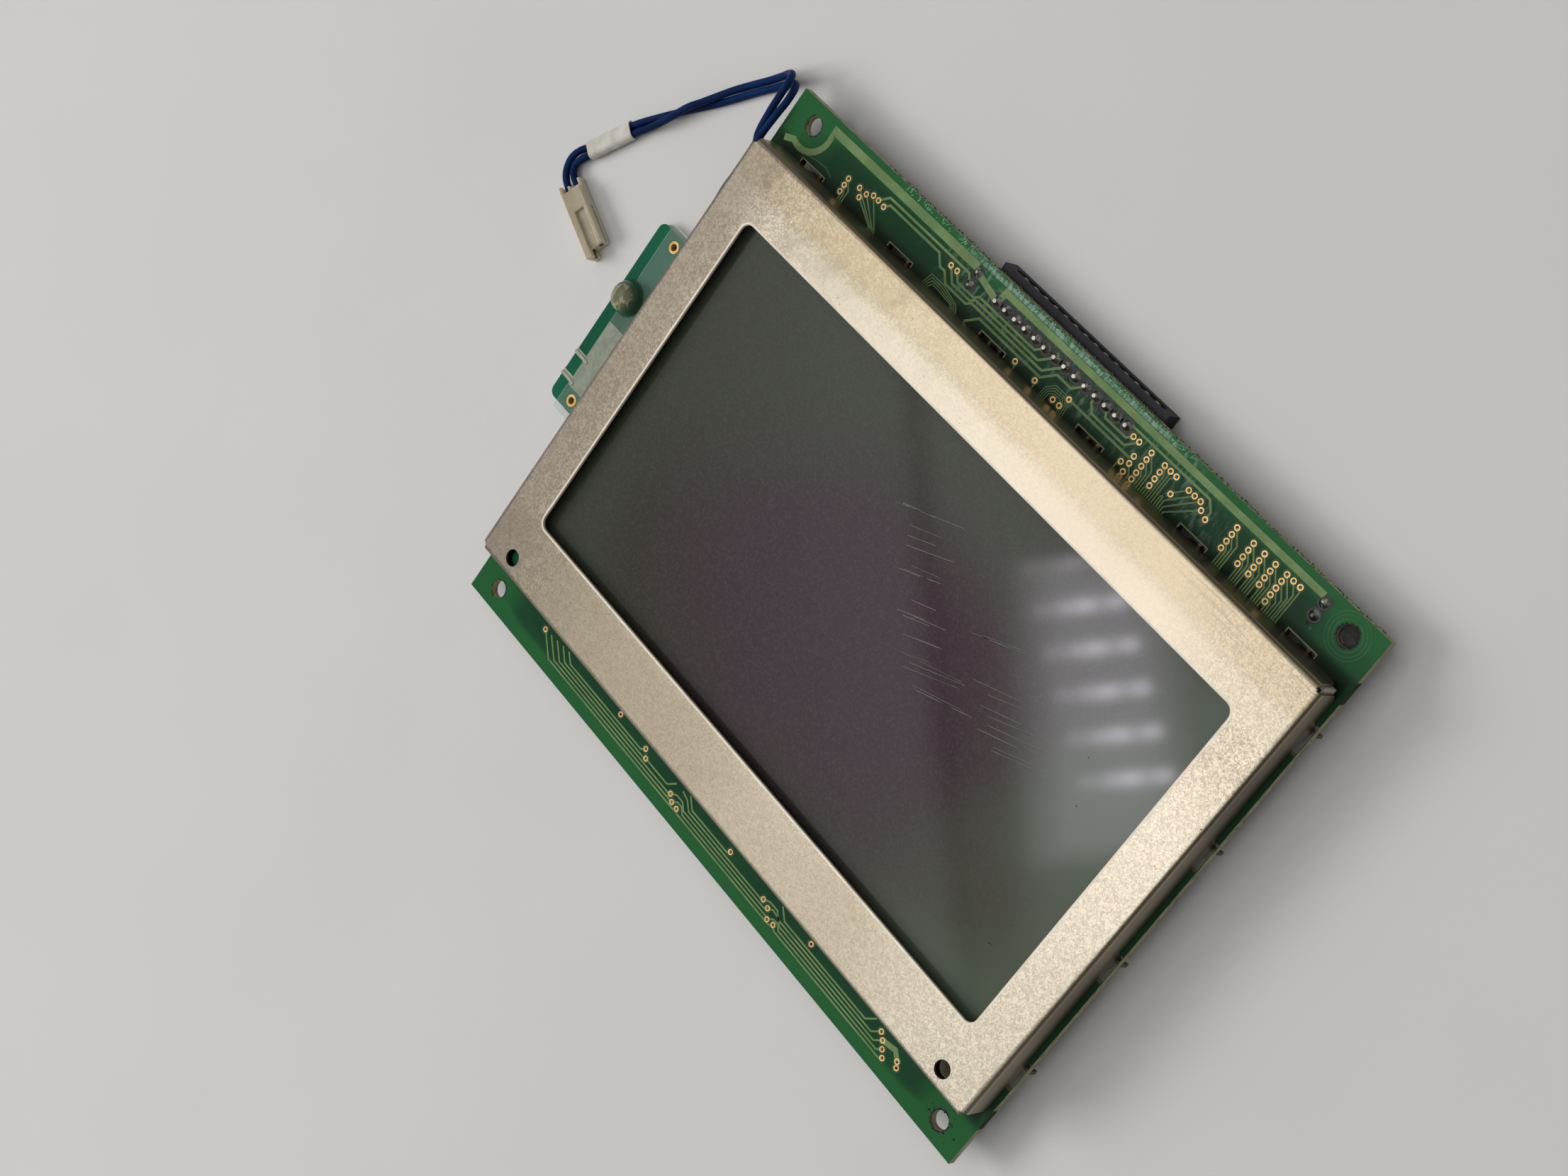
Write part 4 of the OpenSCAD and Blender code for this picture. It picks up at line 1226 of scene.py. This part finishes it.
    def small_marks(self) -> None:
        """Draws the marks by the right hole, the copper's rim by the first slot and slot rims."""
        pale, black, bare = Shape(), Shape(), Shape()
        for radius in (2.6, 3.3, 3.9):
            pale.washer(HOLE, radius, radius - 0.09, *self.skin(0.015), 48)
        pale.disc((62.1, 50.8), 0.32, *self.skin(self.mark), 4)
        pale.ribbon([(-67.0, 48.9), (-63.2, 49.8), (-60.3, 50.1), (-58.3, 49.4)], 0.14,
                    *self.skin(self.mark))
        black.disc((61.2, 51.1), 0.3, *self.skin(self.mark), 10)
        inner, outer = self.slot_y
        for x in self.slots:
            left, right = x - self.slot_half, x + self.slot_half
            for side in (-1, 1):
                bare.ribbon([(left, side * inner), (left, side * outer), (right, side * outer),
                             (right, side * inner)], 0.24, *self.skin(self.mark))
        bare.piece("slot_rims", Stuff.BARE, "board")
        pale.piece("rubbed_rings", Stuff.RELIEF, "board")
        black.piece("test_point", Stuff.BORE, "board")

    def rear_copper(self, places: Sequence[Point2]) -> None:
        """Lays the rear face's via rings and the buses between its chips.

        Args:
            places: Places of the vias, which pass through the board.
        """
        gold, bore, lanes = Shape(), Shape(), Shape()
        for place in places:
            gold.washer(place, *self.rear_ring, -0.06, 0.0)
            bore.disc(place, self.rear_bore, -self.mark, 0.0, 16)
        paths = []
        for step in (0.9 * k for k in range(self.rear_lanes)):
            bus, drop = 9.0 - step, -41.0 - step
            paths += [
                [(-60.0 + step, 21.0 + step / 2), (-60.0 + step, bus), (-15.4, bus)],
                [(7.4, bus), (36.0 - step, bus), (36.0 - step, 21.6)],
                [(-8.0 + step, -2.4), (-8.0 + step, -9.0 - step), (-30.0 + step, -24.0 - step),
                 (-30.0 + step, -30.8)],
                [(8.0 + step * 2, -37.0), (8.0 + step * 2, drop), (60.0, drop)]]
        for k in range(WAYS):
            x = joint_x(k)
            paths.append([(x, JOINT_Y), (x, 46.0 - 0.5 * (k % 4)), (x * 0.6 - 4.0, 38.6)])
        for path in paths:
            lanes.ribbon(path, self.thin, -self.lift, 0.0)
        gold.piece("rear_via_rings", Stuff.GOLD, "gold_plate")
        bore.piece("rear_via_bores", Stuff.BORE, "board")
        lanes.piece("rear_traces", Stuff.TRACE, "board")

    def build(self) -> None:
        """Dresses the board and lays what is on it."""
        dress("main_board", Stuff.BOARD)
        traces = Shape()
        self.ground(traces)
        self.header_runs(traces)
        self.nests(traces)
        upper = self.upper_vias()
        self.fan(traces, upper)
        places = [place for place, _ in upper] + self.lower_lanes(traces)
        traces.piece("mask_traces", Stuff.TRACE, "board")
        self.holes_and_rings(places)
        self.residue()
        self.scuffs()
        self.small_marks()
        self.rear_copper(places)


@dataclass
class SolderJoints:
    """Soldered pins of the header and the two spare pairs."""

    tip: float = 2.6
    foot: float = 0.95
    flaw: float = 0.12
    stain: Point2 = (1.5, 1.38)
    stain_shift: float = 4.0
    spare_stain: Point2 = (1.35, 1.25)
    profile: tuple[Point2, ...] = ((1.0, 0.0), (0.93, 0.1), (0.8, 0.22), (0.66, 0.4), (0.52, 0.6),
                                   (0.44, 0.78), (0.34, 0.92), (0.12, 0.99))
    spare: tuple[Point2, ...] = ((-22.76, 52.73), (-22.76, 55.27), (61.25, 52.73), (61.25, 55.27))

    def fillet(self, shape: Shape, place: Point2, rng: random.Random) -> None:
        """Adds one solder cone that has crept up its pin.

        Args:
            shape: The shape that takes it.
            place: Its middle.
            rng: Source of its small flaws.
        """
        lean = (rng.uniform(-self.flaw, self.flaw), rng.uniform(-self.flaw, self.flaw))
        swell = rng.uniform(0.92, 1.06)
        shape.lathe(place, [(self.foot * r * (swell if 0.2 < z < 0.9 else 1.0),
                             BOARD_TOP + z * (self.tip - BOARD_TOP)) for r, z in self.profile],
                    22, lean)

    def build(self) -> None:
        """Makes the joints and the flux stains round them."""
        rng = random.Random(3)
        row, spare, flux = Shape(), Shape(), Shape()
        levels, shift = (BOARD_TOP, BOARD_TOP + 0.03), self.stain_shift
        for k in range(WAYS):
            place = (joint_x(k), JOINT_Y)
            self.fillet(row, place, rng)
            flux.lathe(place, list(zip(self.stain, levels)), 18,
                       (rng.uniform(-shift, shift), rng.uniform(-shift, shift)))
        for place in self.spare:
            self.fillet(spare, place, rng)
            flux.lathe(place, list(zip(self.spare_stain, levels)), 18)
        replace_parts(row.piece("header_fillets", Stuff.SOLDER, "solder", 50), "header_joints")
        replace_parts(spare.piece("spare_fillets", Stuff.SOLDER, "solder", 50), "spare_joints")
        flux.piece("flux_stains", Stuff.FLUX, "board")


@dataclass
class Bezel:
    """The folded steel bezel."""

    left_hole: Point2 = (-64.4, -44.0)
    stud: tuple[Point2, ...] = ((1.5, 1.6), (1.5, 6.4), (1.4, 6.5))
    window: Point2 = (63.5, 35.0)
    corner: float = 1.8
    face: float = 8.0
    lip_section: tuple[Point2, ...] = ((0.4, 0.01), (0.12, 0.012), (-0.02, -0.03), (-0.05, -0.2),
                                       (-0.05, -0.5), (0.4, -0.5))

    def lip(self) -> None:
        """Rolls the sheared edge round the window, whose bright tone is partly painted highlight.
        """
        rings: list[list[Point3]] = []
        for quarter, (sx, sy) in enumerate(((1, 1), (-1, 1), (-1, -1), (1, -1))):
            cx, cy = sx * (self.window[0] - self.corner), sy * (self.window[1] - self.corner)
            for step in range(7):
                turn = math.radians(90.0 * quarter + 15.0 * step)
                rings.append([(cx + (self.corner + out) * math.cos(turn),
                               cy + (self.corner + out) * math.sin(turn), self.face + rise)
                              for out, rise in self.lip_section])
        edge = Shape()
        edge.loft(rings, cyclic=True)
        edge.piece("window_lip", Stuff.LIP, "bezel_steel", 50)

    def build(self) -> None:
        """Dresses the bezel and sets the green stud that shows in its left hole."""
        dress("bezel", Stuff.STEEL, edge=0.12)
        self.lip()
        stud = Shape()
        stud.lathe(self.left_hole, self.stud, 32)
        stud.piece("hole_stud", Stuff.SIDE, "board", 40)


@dataclass
class Display:
    """The panel in the window, with what lies behind it."""

    groups: tuple[tuple[Point2, Point2, int], ...] = (
        ((10.0, 15.0), (-25.0, 27.0), 24), ((30.5, 35.5), (-3.0, 36.0), 11))
    nick: tuple[Point2, ...] = ((55.7, -23.7), (56.0, -23.4), (56.5, -23.5))
    specks: tuple[tuple[Point2, float], ...] = (((52.6, 4.2), 0.14), ((49.0, 11.4), 0.12))

    def scratches(self) -> None:
        """Draws the bundles of short scratches across the film, each with a dark cut beside it."""
        rng = random.Random(5)
        ridges, cuts = Shape(), Shape()
        for near_far, low_high, count in self.groups:
            for _ in range(count):
                along, across = rng.uniform(*near_far), rng.uniform(*low_high)
                start = Vector(((along + across) / 2, (along - across) / 2))
                turn = math.radians(rng.uniform(19.0, 24.0))
                run = Vector((math.cos(turn), math.sin(turn)))
                step = Vector((-run.y, run.x)) * 0.07
                end = start + run * rng.uniform(5.0, 12.0)
                width = rng.uniform(0.04, 0.08)
                ridges.ribbon([start, end], width, SCREEN_Z, SCREEN_Z + 0.008)
                cuts.ribbon([start - step, end - step], width, SCREEN_Z, SCREEN_Z + 0.006)
        ridges.piece("film_scratches", Stuff.SCRATCH, "polariser")
        cuts.piece("film_cuts", Stuff.BORE, "polariser")

    def nicks(self) -> None:
        """Draws the short dark nick near the right end of the film and two specks."""
        dark = Shape()
        dark.ribbon(self.nick, 0.12, SCREEN_Z, SCREEN_Z + 0.01)
        for place, radius in self.specks:
            dark.disc(place, radius, SCREEN_Z, SCREEN_Z + 0.01, 6)
        dark.piece("film_nicks", Stuff.RESIDUE, "polariser")

    def build(self) -> None:
        """Dresses the panel's layers and marks the film."""
        dress_all(gasket=Stuff.RUBBER, front_polariser=Stuff.SCREEN, front_glass=Stuff.GLASS,
                  rear_glass=Stuff.GLASS, rear_polariser=Stuff.REAR_FILM, lamp_panel=Stuff.LAMP,
                  lamp_terminals=Stuff.TIN, tray=Stuff.TRAY, upper_contact_strip=Stuff.STRIP,
                  lower_contact_strip=Stuff.STRIP)
        self.scratches()
        self.nicks()


@dataclass
class EdgeHeader:
    """The header under the long edge."""

    front: float = 59.5
    tip_shift: float = 0.5
    tip_z: float = -1.0
    tip: Point3 = (0.8, 0.06, 0.55)

    def tips(self) -> None:
        """Sets the pale contact ends that show in the front face."""
        pale = Shape()
        long, deep, high = self.tip
        for k in range(WAYS):
            x = joint_x(k) + self.tip_shift
            pale.ribbon([(x - long / 2, self.front), (x + long / 2, self.front)], deep,
                        self.tip_z - high / 2, self.tip_z + high / 2)
        pale.piece("contact_tips", Stuff.TIP, "tin_plate")

    def build(self) -> None:
        """Dresses the moulding and its contacts."""
        dress("header_body", Stuff.HEADER, edge=0.12)
        dress("header_contacts", Stuff.TIN)
        self.tips()


@dataclass
class SideBoard:
    """The narrow board under the short edge, with its film, patch, blob and eyelets."""

    top: float = -2.2
    edge: float = -86.3
    blob_r: float = 3.4
    blob_foot: float = 0.2
    fingers: tuple[float, ...] = (-10.3, -15.3)
    film_top: float = -1.95
    film_edge: Point2 = (-83.58, 21.4)

    def resin(self) -> None:
        """Pours the domed resin blob."""
        dome = Shape()
        r, foot = self.blob_r, self.top + self.blob_foot
        profile = [(r + 0.25, self.top), (r + 0.2, foot)]
        profile += [(r * math.cos(a), foot + (r - self.blob_foot) * math.sin(a))
                    for a in (math.radians(3.0 + 7.9 * k) for k in range(12))]
        dome.lathe(BLOB, profile, 40)
        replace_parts(dome.piece("resin_dome", Stuff.RESIN, "resin", 60), "resin_blob")

    def details(self) -> None:
        """Adds the fingers, the dark square, painted shade discs in the eyelets' bores and painted
        highlights on the film's edges.
        """
        inked, dark, bores, glint = Shape(), Shape(), Shape(), Shape()
        for y in self.fingers:
            inked.ribbon([(self.edge - 0.15, y), (-84.4, y - 0.05), (-82.6, y - 0.25)], 0.62,
                         self.top, self.top + 0.28)
        dark.ribbon([(-81.9, -1.1), (-81.9, 1.2)], 2.6, self.top, self.top + 0.04)
        # Painted shade: dark discs at the bottom of the eyelets' holes.
        for centre in EYELETS:
            bores.disc(centre, 0.68, -3.75, -3.3, 20)
        x, end = self.film_edge
        # Painted highlight: pale strips along the film's edges.
        for side in (-1, 1):
            y = side * (end - 0.02)
            glint.ribbon([(x - 0.02, y), (-79.0, y)], 0.14, self.film_top, self.film_top + 0.03)
        for low, high in ((-end, -16.4), (9.0, end)):
            glint.ribbon([(x, low), (x, high)], 0.05, self.film_top, self.film_top + 0.02)
        inked.piece("side_board_fingers", Stuff.INK, "white_ink")
        dark.piece("side_board_window", Stuff.BOARD, "side_board")
        bores.piece("eyelet_shade_discs", Stuff.BORE, "gold_plate")
        glint.piece("film_edge_glints", Stuff.GLINT, "clear_film")

    def build(self) -> None:
        """Dresses the board and what is on it."""
        dress_all(side_board=Stuff.SIDE, side_board_eyelets=Stuff.GOLD, white_patch=Stuff.INK,
                  clear_film=Stuff.FILM, foam_pads=Stuff.FOAM)
        self.resin()
        self.details()


@dataclass(frozen=True)
class Package:
    """One moulded chip on the rear face and the rows of its leads."""

    at: Point2
    size: Point3
    pitch: float
    long_leads: int
    short_leads: int = 0


@dataclass
class RearParts:
    """Chips and small parts on the hidden back."""

    reach: float = 1.1
    leaf: float = 0.15
    lead_share: float = 0.42
    drivers: tuple[Point2, ...] = ((-4.0, 6.0), (-44.0, 30.0), (0.0, 30.0), (44.0, 30.0),
                                   (52.0, 2.0), (26.0, -6.0))
    memories: tuple[Point2, ...] = ((-34.0, -36.0), (40.0, -36.0))
    amplifier: Point2 = (0.0, -22.0)

    def packages(self) -> list[Package]:
        """The chips, with their places, sizes and leads."""
        return [*(Package(at, (20.0, 14.0, 2.6), 0.8, 22, 15) for at in self.drivers),
                *(Package(at, (18.4, 7.6, 3.8), 1.27, 14) for at in self.memories),
                Package(self.amplifier, (8.7, 3.9, 1.6), 1.27, 6)]

    def lead(self, shape: Shape, chip: Package, start: Point2, out: Point2) -> None:
        """Adds one bent lead.

        Args:
            shape: The shape that takes it.
            chip: The chip that it belongs to.
            start: Where it leaves the chip.
            out: Direction away from the chip.
        """
        drop = chip.size[2] * 0.5
        steps = ((-0.2, -drop), (0.3, -drop), (0.5, -self.leaf),
                 (self.reach, -self.leaf / 2 - 0.01))
        path = [(start[0] + s * out[0], start[1] + s * out[1], z) for s, z in steps]
        shape.bar(path, (-out[1], out[0], 0.0), chip.pitch * self.lead_share, self.leaf)

    def build(self) -> None:
        """Dresses the chips and adds their leads."""
        for kind in ("controller_chip", "memory_chips", "column_driver_chips", "row_driver_chips",
                     "amplifier_chip"):
            dress(kind, Stuff.CHIP, edge=0.15)
        dress_all(chip_capacitors=Stuff.CAPACITOR, chip_resistors=Stuff.RESISTOR)
        leads = Shape()
        for chip in self.packages():
            (cx, cy), (long, short, _) = chip.at, chip.size
            for side in (-1, 1):
                for k in range(chip.long_leads):
                    x = cx + (k - (chip.long_leads - 1) / 2) * chip.pitch
                    self.lead(leads, chip, (x, cy + side * short / 2), (0.0, side))
                for k in range(chip.short_leads):
                    y = cy + (k - (chip.short_leads - 1) / 2) * chip.pitch
                    self.lead(leads, chip, (cx + side * long / 2, y), (side, 0.0))
        leads.piece("chip_leads", Stuff.TIN, "tin_plate")


def main() -> None:
    """Builds the scene in order."""
    logging.basicConfig(level=logging.INFO, format="%(name)s: %(message)s")
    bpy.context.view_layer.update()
    Studio().build()
    for part in (LampLead(), MainBoard(), SolderJoints(), Bezel(), Display(), EdgeHeader(),
                 SideBoard(), RearParts()):
        part.build()
        log.info("%s is built", type(part).__name__)


if __name__ == "__main__":
    main()
